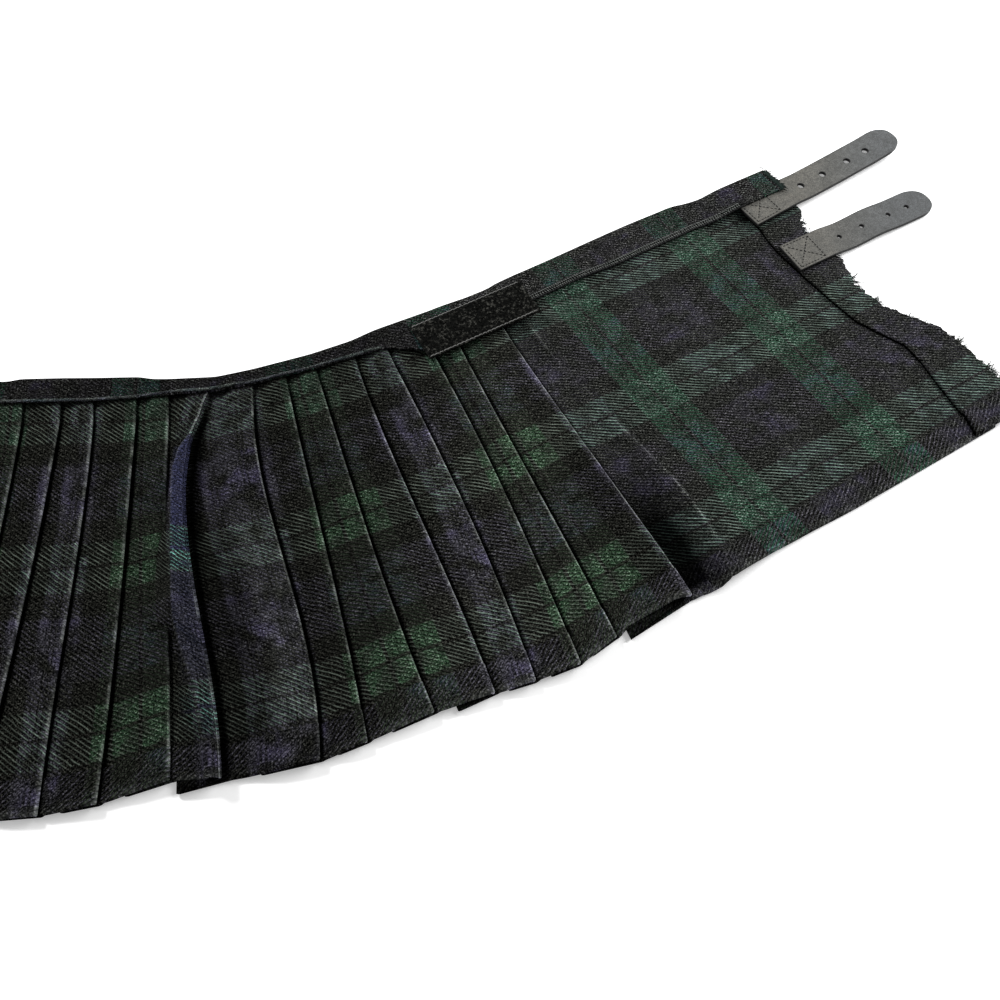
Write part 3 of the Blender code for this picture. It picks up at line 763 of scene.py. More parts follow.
@dataclass(frozen=True)
class Tartan:
    """Black, green and blue tartan in two-and-two twill.

    The stripes are measured from the middle of a green one; half_sett is the way from that to the
    middle of the next. Black lines split the blue stripes, a pair in one and a single in the next.
    wale is the spacing of the twill's lines down the cloth, lean their slope and yarn the spacing
    of its threads. The weft makes the light lines of the twill, and ribs says how far they show
    outside the green, rib_light how light they are, and mottle_light how light the weft is where
    they don't show. The tints are added where stripes cross, lively by cross_light on the lines
    alone. glow, also on the lines, and a brighter blue weft are painted highlight on the open
    pleat's lit top. The pale colour of lint is also mixed into edges, crests and hem rims as wear
    and painted highlight, and these are painted brighter, while shaded places are painted darker.
    relief is the depth of the weave in metres, and fade paints a light gradient: how bright the
    cloth is west of one place in the object and east of another.
    """

    name: str = "tartan_wool"
    warp: Dyes = Dyes((0.0095, 0.0098, 0.0088), (0.0160, 0.0390, 0.0245), (0.0175, 0.0170, 0.0198))
    weft: Dyes = Dyes((0.0108, 0.0112, 0.0102), (0.0212, 0.0282, 0.0238), (0.0150, 0.0144, 0.0164))
    square: Colour = (0.000, 0.003, 0.001)
    square_above: Colour = (0.000, 0.003, 0.0015)
    purple: Colour = (0.004, 0.003, 0.011)
    teal: Colour = (0.000, 0.005, 0.009)
    lively: Colour = (0.006, 0.013, 0.011)
    painted_ribbon_blue: Colour = (0.026, 0.028, 0.056)
    glow: Colour = (0.012, 0.052, 0.044)
    wear_and_painted_light: Colour = (0.085, 0.092, 0.088)
    half_sett: float = 79.0
    green_half: float = 12.4
    guard_half: float = 0.8
    blue_half: float = 14.9
    pair_at: float = 8.2
    pair_apart: float = 1.2
    pair_half: float = 0.55
    single_at: float = 2.1
    single_half: float = 0.6
    wale: float = 2.25
    lean: float = 0.73
    yarn: float = 0.6
    ribs: float = 0.35
    rib_light: float = 4.3
    mottle_light: float = 2.3
    cross_light: float = 3.0
    light: float = 1.27
    edge_wear_and_highlight: float = 0.2
    relief: float = 0.00055
    fade: tuple[float, float] = (1.0, 1.0)
    painted_light_from: float = 0.04
    painted_light_to: float = 0.11

    def stripes(self, across: Shade, patchy: Shade) -> Stripes:
        """Return which stripes cross a place of the sett.

        Args:
            across: the place in millimetres.
            patchy: slow noise, which breaks the stripes up.

        Returns:
            The shares of green and blue.
        """
        half = self.half_sett
        from_green = abs((across + half / 2) % half - half / 2)
        green = from_green.ramp(self.green_half + 0.5, self.green_half - 0.5)
        green = green * from_green.ramp(self.guard_half - 0.3, self.guard_half + 0.5)
        from_blue = half / 2 - from_green
        blue = from_blue.ramp(self.blue_half + 1.5, self.blue_half - 1.5)
        paired = (across % (2 * half)) < half
        pair = abs(abs(from_blue - self.pair_at) - self.pair_apart) < self.pair_half
        single = abs(from_blue - self.single_at) < self.single_half
        lines = paired * pair + (1.0 - paired) * single
        return Stripes(green * (0.5 + 0.6 * patchy.ramp(0.36, 0.6)),
                       blue * (1.0 - 0.7 * lines) * patchy.ramp(0.3, 0.62))

    def threads(self, graph: Graph, twill: Twill, ends: Stripes, picks: Stripes
                ) -> bpy.types.NodeSocket:
        """Return the colour of the warp and the weft as the twill shows them.

        Args:
            graph: the material's nodes.
            twill: the weave.
            ends: the warp's stripes.
            picks: the weft's stripes.

        Returns:
            The colour.
        """
        warp, weft = (
            graph.mix(stripes.green, graph.mix(stripes.blue, dyes.black, dyes.blue), dyes.green)
            for stripes, dyes in ((ends, self.warp), (picks, self.weft)))
        both = ends.green * picks.green
        specks = 0.03 + 3.6 * twill.grain * twill.grain
        sharp = (self.ribs + (1.0 - self.ribs) * picks.green) * (1.0 - 0.85 * both)
        ribbed = twill.line * self.rib_light * (0.7 + 0.6 * twill.weft_yarn)
        ribbed = ribbed * (0.65 + 0.7 * twill.streak) * (0.65 + 0.8 * twill.grain)
        mottled = twill.crest * self.mottle_light * (0.1 + 1.8 * twill.weft_yarn) * specks
        weft_light = mottled + sharp * (ribbed - mottled)
        smooth = 0.35 + 1.5 * twill.grain
        specks = specks + (ends.green + ends.blue).held() * (smooth - specks)
        warp_light = (1.0 - twill.crest) * (0.05 + 1.9 * twill.warp_yarn) * specks
        return graph.added(graph.scaled(weft, weft_light), graph.scaled(warp, warp_light))

    def tinted(self, graph: Graph, twill: Twill, ends: Stripes, picks: Stripes
               ) -> bpy.types.NodeSocket:
        """Return that colour with the tints of the places where stripes cross.

        Args:
            graph: the material's nodes.
            twill: the weave.
            ends: the warp's stripes.
            picks: the weft's stripes.

        Returns:
            The colour.
        """
        threads = self.threads(graph, twill, ends, picks)
        # facing carries the painted highlight of the open pleat's lit top: glow on its green lines
        # and a brighter blue weft.
        facing = graph.attribute("facing")
        square = graph.mix(twill.down.ramp(40.0, 60.0), self.square_above, self.square)
        speck = (0.3 + twill.weft_yarn) * (0.2 + 2.0 * twill.grain)
        pools = graph.speckle(twill.place, 0.07, 1.0).ramp(0.42, 0.6)
        lines = twill.line * self.cross_light
        for tint, share in ((square, ends.green * picks.green),
                            (self.purple, ends.blue * picks.blue * pools),
                            (self.teal, ends.green * picks.blue * pools),
                            (self.lively, ends.blue * picks.green * lines),
                            (self.glow, facing * picks.green * lines)):
            threads = graph.added(threads, graph.scaled(tint, share * speck))
        painted_ribbon_share = facing * (1.0 - picks.green) * (0.3 + twill.weft_yarn)
        return graph.mix(painted_ribbon_share.held(), threads, graph.scaled(self.painted_ribbon_blue, 0.15 + 1.9 * twill.grain))

    def make(self) -> bpy.types.Material:
        """Make the finish.

        Returns:
            Its material.
        """
        graph = Graph(self.name, 0.95, specular=0.0)
        twill = Twill(graph, self.wale, self.lean, self.yarn)
        patchy = graph.speckle(twill.place, 0.09, 2.0)
        ends = self.stripes(twill.across, patchy)
        picks = self.stripes((twill.down - WEFT_START) * WEFT_SCALE, patchy)
        threads = self.tinted(graph, twill, ends, picks)
        # The edge amounts: above zero wear and painted highlight, which brighten the cloth and mix
        # in the pale colour of lint, below zero painted shade, which darkens it.
        edge = graph.attribute("edge")
        rise = edge.held() * (0.3 + 1.2 * graph.speckle(twill.place, 0.1, 2.0).ramp(0.34, 0.66))
        painted_shade = (edge * -1.0).held()
        lint_and_edge_highlight = twill.fuzz.ramp(0.62, 0.86) * 0.3 + rise * self.edge_wear_and_highlight * (0.3 + twill.weft_yarn)
        colour = graph.mix(lint_and_edge_highlight.held(), threads, self.wear_and_painted_light)
        # fade paints a light gradient, brighter towards the east of the object.
        west, east = self.fade
        painted_gradient = west + (east - west) * graph.east().ramp(self.painted_light_from, self.painted_light_to)
        broad = graph.speckle(twill.place, 0.035, 2.0)
        # Painted highlight and painted shade from the edge amounts, the painted light gradient, and
        # broad random tone.
        bright = (0.7 + 0.6 * broad) * (1.0 + rise * 2.2) * (1.0 - 0.93 * painted_shade) * painted_gradient * self.light
        height = twill.crest * 0.8 + twill.fuzz * 0.4
        return graph.finish(graph.scaled(colour, bright), height, self.relief)


@dataclass(frozen=True)
class Leather:
    """Worn grey leather with a fine grain and rubbed edges."""

    name: str = "grey_leather"
    light: Colour = (0.160, 0.158, 0.145)
    cool: Colour = (0.132, 0.139, 0.146)
    warm: Colour = (0.184, 0.170, 0.143)
    dark: Colour = (0.026, 0.027, 0.025)
    edging: Colour = (0.012, 0.012, 0.012)

    def make(self) -> bpy.types.Material:
        """Make the finish.

        Returns:
            Its material.
        """
        graph = Graph(self.name, 0.7, specular=0.2)
        place = graph.solid_place()
        mottle = graph.speckle(place, 420.0, 5.0, 0.72)
        grain = graph.speckle(place, 1500.0, 3.0, 0.65)
        patch = graph.speckle(place, 70.0, 3.0, 0.6)
        blotch = graph.speckle(place, 130.0, 3.0, 0.6)
        cells = graph.value("ShaderNodeTexVoronoi", {"feature": "DISTANCE_TO_EDGE"},
                            {"Vector": place, "Scale": 900.0}, "Distance")
        crackle = cells.ramp(0.0, 0.14)
        share = 0.14 + grain.ramp(0.34, 0.66) * 0.38 + mottle.ramp(0.34, 0.66) * 0.26
        share = share * (0.76 + 0.2 * patch.ramp(0.36, 0.64) + 0.16 * blotch.ramp(0.34, 0.66))
        east = graph.east()
        face = graph.mix(east.ramp(0.28, 0.36), self.light, self.cool)
        sewn_end = (0.1 + 0.8 * blotch) * (1.0 - east.ramp(0.285, 0.33))
        face = graph.mix(sewn_end.held(), face, self.warm)
        base = graph.mix(share.held(), self.dark, face)
        rim = graph.attribute("edge").ramp(0.5, 0.9)
        colour = graph.scaled(graph.mix(rim, base, self.edging), 0.8 + 0.2 * crackle)
        height = crackle * 0.5 + grain * 0.5
        return graph.finish(colour, height, 0.00022, 0.7, 0.5 + 0.25 * mottle)


@dataclass(frozen=True)
class Pile:
    """The fibre of a tape's loops or hooks, matt and dark, lighter on its tips."""

    name: str = "loop_fibre"
    base: Colour = (0.0012, 0.0013, 0.0011)
    tip: Colour = (0.050, 0.050, 0.044)
    scale: float = 760.0
    roughness: float = 0.85

    def make(self) -> bpy.types.Material:
        """Make the finish.

        Returns:
            Its material.
        """
        graph = Graph(self.name, self.roughness, specular=0.05)
        place = graph.solid_place()
        fibre = graph.speckle(place, self.scale, 3.0, 0.7)
        clump = graph.speckle(place, self.scale * 0.28, 2.0)
        share = (fibre.ramp(0.50, 0.68) * (0.15 + 1.3 * clump.ramp(0.35, 0.65))).held()
        return graph.finish(graph.mix(share, self.base, self.tip), fibre, 0.0005, 0.9)


@dataclass(frozen=True)
class Yarn:
    """Spun thread with a twist along it, read from the thread's own map."""

    name: str
    base: Colour
    light: Colour
    twist: float = 0.9

    def make(self) -> bpy.types.Material:
        """Make the finish.

        Returns:
            Its material.
        """
        graph = Graph(self.name, 0.9, specular=0.05)
        across, down, _place = graph.cloth_place()
        solid = graph.solid_place()
        plies = abs(((across * 1.2 + down / self.twist) * math.pi).wave())
        fibre = graph.speckle(solid, 2600.0, 2.0)
        share = (plies * 0.6 + fibre * 0.5).held()
        return graph.finish(graph.mix(share, self.base, self.light), plies, 0.0002, 0.7)


@dataclass(frozen=True)
class Steel:
    """Bright wire with fine rubbing marks."""

    name: str = "buckle_steel"
    bright: Colour = (0.56, 0.56, 0.54)
    dull: Colour = (0.34, 0.33, 0.31)

    def make(self) -> bpy.types.Material:
        """Make the finish.

        Returns:
            Its material.
        """
        graph = Graph(self.name, 0.3, metallic=1.0)
        place = graph.solid_place()
        marks = graph.speckle(place, 3000.0, 3.0, 0.6)
        tarnish = graph.speckle(place, 160.0, 3.0)
        share = (tarnish.ramp(0.45, 0.75) * 0.7).held()
        return graph.finish(graph.mix(share, self.bright, self.dull), marks, 0.00005, 0.4,
                            0.24 + 0.24 * marks)


@dataclass(frozen=True)
class Paper:
    """The plain pale surface that the kilt lies on."""

    name: str = "pale_surface"
    tone: Colour = (0.90, 0.90, 0.90)
    glow: float = 0.3

    def make(self) -> bpy.types.Material:
        """Make the finish.

        Returns:
            Its material.
        """
        graph = Graph(self.name, 0.9, specular=0.1)
        graph.shader.inputs["Emission Color"].default_value = (1.0, 1.0, 1.0, 1.0)
        graph.shader.inputs["Emission Strength"].default_value = self.glow
        grain = graph.speckle(graph.solid_place(), 90.0, 2.0)
        return graph.finish(graph.scaled(self.tone, 0.985 + 0.03 * grain))


class Finish(Enum):
    """The finishes of the kilt and what it lies on."""

    TARTAN = Tartan()
    # The pleats' tartan is a copy of the cloth with mostly darker dyes, as painted shade, and its
    # fade paints a light gradient, brighter to the east.
    PLEATED = Tartan("tartan_pleats",
                     Dyes((0.0090, 0.0092, 0.0077), (0.0155, 0.0200, 0.0140),
                          (0.0380, 0.0370, 0.0450)).times(0.78),
                     Dyes((0.0062, 0.0063, 0.0055), (0.0158, 0.0188, 0.0155),
                          (0.0125, 0.0120, 0.0145)).times(0.78),
                     square=(0.002, 0.012, 0.004), square_above=(0.002, 0.012, 0.006),
                     purple=(0.007, 0.005, 0.018), teal=(0.0, 0.003, 0.004),
                     light=1.2, fade=(1.0, 1.55))
    # The band's fade paints a light gradient too, darker to the west.
    BAND = Tartan("tartan_band",
                  Dyes((0.0118, 0.0120, 0.0112), (0.0125, 0.0275, 0.0185),
                       (0.0135, 0.0130, 0.0142)),
                  Dyes((0.0108, 0.0110, 0.0102), (0.0100, 0.0130, 0.0115),
                       (0.0115, 0.0112, 0.0120)),
                  ribs=0.05, light=1.3, fade=(0.55, 1.05))
    ROLLED = Tartan("tartan_rolled_edge",
                    Dyes((0.011, 0.012, 0.011), (0.011, 0.020, 0.016), (0.012, 0.013, 0.017)),
                    Dyes((0.024, 0.027, 0.025), (0.024, 0.038, 0.031), (0.026, 0.027, 0.034)),
                    wale=0.95, edge_wear_and_highlight=0.3, light=1.2)
    FRAYED = Yarn("frayed_yarn", (0.0035, 0.005, 0.0045), (0.020, 0.031, 0.027))
    STITCH = Yarn("seam_thread", (0.045, 0.049, 0.046), (0.19, 0.20, 0.19))
    DARK_THREAD = Yarn("dark_thread", (0.004, 0.004, 0.004), (0.020, 0.020, 0.021))
    PALE_THREAD = Yarn("grey_thread", (0.060, 0.062, 0.060), (0.24, 0.24, 0.23))
    LEATHER = Leather()
    LOOP = Pile()
    HOOK = Pile(name="hook_fibre", base=(0.004, 0.004, 0.0045), tip=(0.030, 0.030, 0.032),
                scale=1400.0, roughness=0.6)
    STEEL = Steel()
    PAPER = Paper()

    def material(self) -> bpy.types.Material:
        """Return its material, made the first time that it is asked for."""
        return bpy.data.materials.get(self.value.name) or self.value.make()


# ---- shaping helpers --------------------------------------------------------------------------
def clear_selection() -> None:
    """Deselect everything."""
    bpy.ops.object.select_all(action="DESELECT")


def pick(item: bpy.types.Object) -> None:
    """Make an object the only one selected.

    Args:
        item: the object.
    """
    clear_selection()
    item.select_set(True)
    bpy.context.view_layer.objects.active = item


def to_frame(spots: np.ndarray) -> np.ndarray:
    """Turn places on the plan in millimetres into places in the frame in metres."""
    return (np.asarray(spots, float) - GRID_MIDDLE) * MM


def apply_modifier(item: bpy.types.Object, kind: str, **settings: object) -> None:
    """Add a modifier and apply it.

    Args:
        item: the piece.
        kind: the modifier's type.
        settings: its settings.
    """
    pick(item)
    modifier = item.modifiers.new(kind.lower(), kind)
    for name, setting in settings.items():
        setattr(modifier, name, setting)
    bpy.ops.object.modifier_apply(modifier=modifier.name)


def smooth_faces(item: bpy.types.Object, degrees: float = 55.0) -> None:
    """Shade an object smooth except along edges sharper than an angle."""
    pick(item)
    bpy.ops.object.shade_smooth_by_angle(angle=math.radians(degrees))


def dress(item: bpy.types.Object, finish: Finish) -> bpy.types.Object:
    """Give a piece its only finish.

    Args:
        item: the piece.
        finish: what it is made of.

    Returns:
        The piece.
    """
    item.data.materials.clear()
    item.data.materials.append(finish.material())
    return item


def keep(item: bpy.types.Object, name: str, amounts: np.ndarray) -> None:
    """Keep a number at each point of a piece, for its material."""
    layer = item.data.attributes.new(name, "FLOAT", "POINT")
    layer.data.foreach_set("value", np.asarray(amounts, np.float32))


@dataclass
class ClothGrid:
    """A sheet of cloth as a grid of places, from its lowest row to its highest.

    spots holds (row, column, xyz) in millimetres, across and down the cloth's own pattern, walls
    the wall's thickness, the field after it how much wear and painted highlight each point has, or
    below zero painted shade, and facing the painted highlight of a lit top. The pattern is turned
    back below turned_below, where the hem is.
    """

    name: str
    spots: np.ndarray
    across: np.ndarray
    down: np.ndarray
    walls: np.ndarray
    wear_light_and_shade: np.ndarray
    turned_below: float = math.inf
    facing: Optional[np.ndarray] = None

    def build(self, finish: Finish, offset: float = 1.0) -> bpy.types.Object:
        """Shape a primitive grid to the sheet and give it its wall.

        Args:
            finish: what it is made of.
            offset: side on which the wall grows, 1 above and 0 both.

        Returns:
            The piece.
        """
        rows, columns = self.spots.shape[:2]
        clear_selection()
        bpy.ops.mesh.primitive_grid_add(x_subdivisions=columns - 1, y_subdivisions=rows - 1,
                                        size=1.0)
        item = bpy.context.object
        item.name = item.data.name = self.name
        mesh = item.data
        start = np.empty(len(mesh.vertices) * 3)
        mesh.vertices.foreach_get("co", start)
        start = start.reshape(-1, 3)
        column = np.rint((start[:, 0] + 0.5) * (columns - 1)).astype(int)
        row = np.rint((start[:, 1] + 0.5) * (rows - 1)).astype(int)
        mesh.vertices.foreach_set("co", to_frame(self.spots[row, column]).ravel())
        self.map_pattern(mesh, row, column)
        # The edge amounts carry wear, painted highlight and painted shade.
        keep(item, "edge", self.wear_light_and_shade[row, column])
        if self.facing is not None:
            keep(item, "facing", self.facing[row, column])
        walls = self.walls[row, column]
        thick = float(walls.max())
        group = item.vertex_groups.new(name="wall")
        near_enough = 6e-4
        for wall in np.unique(np.round(walls, 3)):
            chosen = np.nonzero(np.abs(walls - wall) < near_enough)[0].tolist()
            group.add(chosen, float(wall / thick), "REPLACE")
        apply_modifier(item, "SOLIDIFY", thickness=thick * MM, offset=offset,
                       vertex_group="wall", thickness_vertex_group=0.0)
        item.vertex_groups.clear()
        smooth_faces(item)
        return dress(item, finish)

    def map_pattern(self, mesh: bpy.types.Mesh, row: np.ndarray, column: np.ndarray) -> None:
        """Lay the cloth's own pattern on the mesh, turned back where the hem is turned.

        Args:
            mesh: the grid's mesh.
            row: each point's row.
            column: each point's column.
        """
        points = np.empty(len(mesh.loops), int)
        mesh.loops.foreach_get("vertex_index", points)
        across = self.across[row[points], column[points]]
        down = self.down[row[points], column[points]].copy()
        middles = down.reshape(-1, 4).mean(axis=1)
        turned = np.repeat(middles > self.turned_below, 4)
        down[turned] = 2.0 * DROP - down[turned]
        layer = mesh.uv_layers["UVMap"]
        layer.data.foreach_set("uv", np.stack((across, down), axis=-1).ravel())


def area_under(amounts: np.ndarray, places: np.ndarray) -> float:
    """Return the area under amounts that are known at rising places."""
    return float(np.sum(np.diff(places) * (amounts[1:] + amounts[:-1]) / 2.0))


def surface_normals(spots: np.ndarray) -> np.ndarray:
    """Return a grid's normals, upwards where its columns run right and its rows run up.

    Args:
        spots: the grid's places, as (row, column, xyz).

    Returns:
        One normal for each.
    """
    across = np.gradient(spots, axis=1)
    along = np.gradient(spots, axis=0)
    normal = np.cross(across, along)
    return normal / np.linalg.norm(normal, axis=-1, keepdims=True)


def underside(middle: np.ndarray) -> np.ndarray:
    """Return the lower side of a sheet of cloth whose middle is known."""
    return middle - surface_normals(middle) * CLOTH / 2


def as_mesh(curve: bpy.types.Curve) -> bpy.types.Object:
    """Turn a curve into a mesh of the same name.

    Args:
        curve: the curve's data.

    Returns:
        The object, which is left picked.
    """
    item = bpy.data.objects.new(curve.name, curve)
    bpy.context.collection.objects.link(item)
    pick(item)
    bpy.ops.object.convert(target="MESH")
    return bpy.context.object


def open_curve(name: str, paths: Iterable[np.ndarray], radius: float, sides: int = 2,
               radii: Optional[Sequence[np.ndarray]] = None) -> bpy.types.Object:
    """Make round threads along paths, as one mesh.

    Args:
        name: the piece's name.
        paths: the places along each thread, in millimetres on the plan.
        radius: the thread's radius in millimetres.
        sides: how finely it is rounded.
        radii: part of the radius at each place, where it varies.

    Returns:
        The piece.
    """
    curve = bpy.data.curves.new(name, "CURVE")
    curve.dimensions = "3D"
    curve.bevel_depth = radius * MM
    curve.bevel_resolution = sides
    curve.use_fill_caps = True
    for number, path in enumerate(paths):
        spline = curve.splines.new("POLY")
        spline.points.add(len(path) - 1)
        places = np.concatenate((to_frame(path), np.ones((len(path), 1))), axis=1)
        spline.points.foreach_set("co", places.ravel())
        if radii is not None:
            spline.points.foreach_set("radius", np.asarray(radii[number], float))
    item = as_mesh(curve)
    bpy.ops.object.shade_smooth()
    return item


def join(items: Sequence[bpy.types.Object], name: str) -> bpy.types.Object:
    """Join pieces into one.

    Args:
        items: the pieces.
        name: the joined piece's name.

    Returns:
        The joined piece.
    """
    clear_selection()
    for item in items:
        item.select_set(True)
    bpy.context.view_layer.objects.active = items[0]
    bpy.ops.object.join()
    items[0].name = items[0].data.name = name
    return items[0]


def stitches(name: str, seam: Callable[[float], np.ndarray], length: float, pitch: float,
             finish: Finish, radius: float = 0.22, share: float = 0.62, seed: int = 5
             ) -> bpy.types.Object:
    """Sew a row of stitches along a seam.

    Args:
        name: the piece's name.
        seam: gives the place on the plan at a distance along the seam.
        length: how long the seam is.
        pitch: length of one stitch with its gap.
        finish: the thread.
        radius: the thread's radius.
        share: part of the pitch that lies on top.
        seed: start of the small differences between the stitches.

    Returns:
        The piece.
    """
    rng = random.Random(seed)
    paths = []
    place = 0.0
    while place + pitch < length:
        reach = pitch * share * rng.uniform(0.9, 1.1)
        steps = np.linspace(0.0, 1.0, 5)
        path = np.array([seam(place + reach * t) for t in steps])
        path[:, 2] += radius * (np.sin(steps * np.pi) ** 0.5 * 1.5 - 0.9)
        paths.append(path)
        place += pitch * rng.uniform(0.94, 1.06)
    return dress(open_curve(name, paths, radius, 1), finish)


def declare(item: bpy.types.Object, *nodes: str) -> None:
    """Let a piece ride on the body and stand for its nodes.

    Args:
        item: the piece.
        nodes: the nodes that it replaces.
    """
    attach(item, BODY)
    if nodes:
        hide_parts(*nodes)
    log.info("%s: %d faces", item.name, len(item.data.polygons))


# ---- the cloth panels -------------------------------------------------------------------------
def cloth_rows(pitch: float) -> np.ndarray:
    """Return a panel's rows from waist to hem as v, close together where the hem is turned.

    Args:
        pitch: millimetres between the rows above the hem.

    Returns:
        The places of the rows.
    """
    body = np.linspace(0.0, HEM_TOP - 0.5, int(HEM_TOP / pitch))
    step = np.array((HEM_TOP - 0.12, HEM_TOP + 0.12, HEM_TOP + 0.5))
    turned = np.linspace(HEM_TOP + 2.2, DROP - 2.0, 6)
    edge = np.array((DROP - 1.0, DROP - 0.5, DROP - 0.2, DROP))
    return np.concatenate((body, step, turned, edge)) / DROP


def hem_wall(v: np.ndarray, hem: float) -> np.ndarray:
    """Return the cloth's thickness down a column, doubled where its hem shows.

    Args:
        v: places down the cloth.
        hem: how much of the hem shows.

    Returns:
        The thicknesses in millimetres.
    """
    turned = np.where(v * DROP > HEM_TOP, HEM_FOLD * hem, 0.0)
    wall = CLOTH + turned
    back = np.clip((DROP - v * DROP) / (wall / 2), 0.0, 1.0)
    return wall * (0.5 + 0.5 * np.sqrt(1.0 - (1.0 - back) ** 2))


def tuck(gap: int) -> float:
    """Return where a pleat's hidden layers begin, as part of its gap."""
    return DEEP_TUCKS.get(gap, TUCK)


@dataclass
class Panel:
    """A length of the kilt's cloth, shaped column by column on the plan."""

    name: str
    node: str
    creases: tuple[Crease, ...] = ()
    unevenness: Unevenness = field(default_factory=lambda: Unevenness(11, 130, 0.55))
    pitch: float = 2.35
    finish: Finish = Finish.TARTAN
    hidden_shade: float = 0.8
    rim_highlight: float = 0.35

    def stations(self) -> list[Station]:
        """Return the panel's columns from left to right along the cloth."""
        raise NotImplementedError

    def extra_height(self, station: Station, v: np.ndarray) -> np.ndarray:
        """Return how far a column stands above its layer."""
        return np.zeros_like(v)

    def facing(self, station: Station, v: np.ndarray) -> np.ndarray:
        """Return the painted highlight of a lit top down a column."""
        return np.zeros_like(v)

    def wear_and_painted_light(self, station: Station, v: np.ndarray) -> np.ndarray:
        """Return the wear and painted highlight at a column's edges, painted shade below zero.

        Args:
            station: the column.
            v: places down the cloth.

        Returns:
            The amounts, from -1 to 1.
        """
        # Hidden layers take painted shade at the hem, and the hem's rim a painted highlight.
        if station.hem == 0.0 and station.level <= 1.0:
            shade = self.hidden_shade * eased(v, *HIDDEN_HEM)
            return station.edge * eased(v, *BELOW_BAND) - shade
        rim = self.rim_highlight * eased(v, *HEM_RIM) * (station.hem == 1.0)
        return np.clip(station.edge * eased(v, *BELOW_BAND) + rim, -1.0, 1.0)

    def column(self, station: Station, v: np.ndarray) -> np.ndarray:
        """Return the middle of the cloth's wall down a column.

        Args:
            station: the column.
            v: places down the cloth.

        Returns:
            One (x, y, z) for each.
        """
        sag = float(from_table(HEM_SAG, station.gap + station.part))
        first = tuck(station.gap)
        hidden = station.level <= 1.0 and station.hem == 0.0
        if hidden and station.part >= first and station.gap + 1 <= LAST_FOLD:
            sag += FOLD_LINES[station.gap + 1].peek * ((1.0 - station.part) / (1.0 - first)) ** 0.8
        reach = v + sag / DROP * eased(v, 0.9, 1.0)
        spot = PLAN.place(station.gap, station.part, station.shift, reach)
        height = PLAN.rest(station.gap, station.part, station.shift, v) + CLOTH / 2
        height = height + station.level * LAYER + self.extra_height(station, v)
        if station.hem > 0.0:
            loose = eased(v, *LOOSE)
            for crease in self.creases:
                height = height + crease.over(station.gap, station.part, v) * loose
            height = height + self.unevenness.over(spot) * loose * station.hem
            height = np.maximum(height, CLOTH / 2)
        return np.concatenate((spot, height[:, None]), axis=1)

    def build(self, rests_on: Sequence[str]) -> bpy.types.Object:
        """Shape the panel, and state what it was cut from.

        Args:
            rests_on: what it lies on; not used.

        Returns:
            The piece.
        """
        columns = self.stations()
        v = cloth_rows(self.pitch)[::-1]
        middle, across, walls, wear_light_and_shade, facing = (
            np.stack([measure(station) for station in columns], axis=1)
            for measure in (lambda station: self.column(station, v),
                            lambda station: PLAN.sett(station, v),
                            lambda station: hem_wall(v, station.hem),
                            lambda station: self.wear_and_painted_light(station, v),
                            lambda station: self.facing(station, v)))
        down = np.repeat((v * DROP)[:, None], len(columns), axis=1)
        grid = ClothGrid(self.name, underside(middle), across, down, walls, wear_light_and_shade,
                         turned_below=HEM_TOP, facing=facing)
        item = grid.build(self.finish)
        steps = np.linalg.norm(np.diff(middle, axis=1), axis=-1).sum(axis=1)
        wide = float(steps.max()) * MM
        cut = area_under(steps[::-1], v[::-1] * DROP) * MM * MM
        list(rests_on)
        declare(item, self.node)
        log.info("%s: flat %.3f x %.3f m, area %.4f m2", self.name, wide, DROP * MM, cut)
        return item


def pressed_edge(gap: int) -> list[Station]:
    """Return the columns round a pleat's pressed edge, from its front to the layer below.

    Args:
        gap: the gap whose right-hand edge it is.

    Returns:
        The columns after the front's last one.
    """
    columns = []
    # The last number of each turn is the wear and painted highlight on the pressed edge.
    for turn, hem, wear_and_painted_light in ((36.0, 0.4, 0.8), (72.0, 0.4, 1.0), (108.0, 0.0, 0.6),
                            (144.0, 0.0, 0.0), (180.0, 0.0, 0.0)):
        angle = math.radians(turn)
        shift = FOLD_RADIUS * (math.sin(angle) - 1.0)
        run = 2.0 * FOLD_RADIUS * angle / math.pi
        columns.append(Station(gap, 1.0, shift, 1.5 + 0.5 * math.cos(angle), hem, wear_and_painted_light, run))
    return columns


def pleat_front(gap: int, count: int) -> list[Station]:
    """Return the columns of a pleat's front, from under the edge before it to its own edge.

    The front rises steeply out of the narrow gap beside the edge before it, then slowly.

    Args:
        gap: which pleat.
        count: how many columns.

    Returns:
        The columns.
    """
    near = 0.25 if gap == OPEN_PLEAT + 1 else 1.15 + 0.3 * math.sin(gap * 2.3)
    risen = 1.7
    columns = []
    # The first columns lie in painted shade beside the edge before, and the front's own edge takes
    # a little painted highlight.
    for past, level, shade in ((-0.9, 0.0, -1.0), (0.0, 0.22, -1.0), (0.8, 0.72, -0.8),
                               (risen, 1.0, -0.1)):
        columns.append(Station(gap, 0.0, EDGE_CLEAR + past, level * near, 1.0, shade))
    first = 0.03 if gap == OPEN_PLEAT else 0.14
    for q in [*np.linspace(first, 0.9, count - 4), 0.955, 1.0]:
        level = near + (2.0 - near) * float(eased(q, 0.1, 0.55))
        shift = (EDGE_CLEAR + risen) * (1.0 - q) - FOLD_RADIUS * q
        columns.append(Station(gap, float(q), shift, level, 1.0, 0.15 if q == 1.0 else 0.0))
    return columns


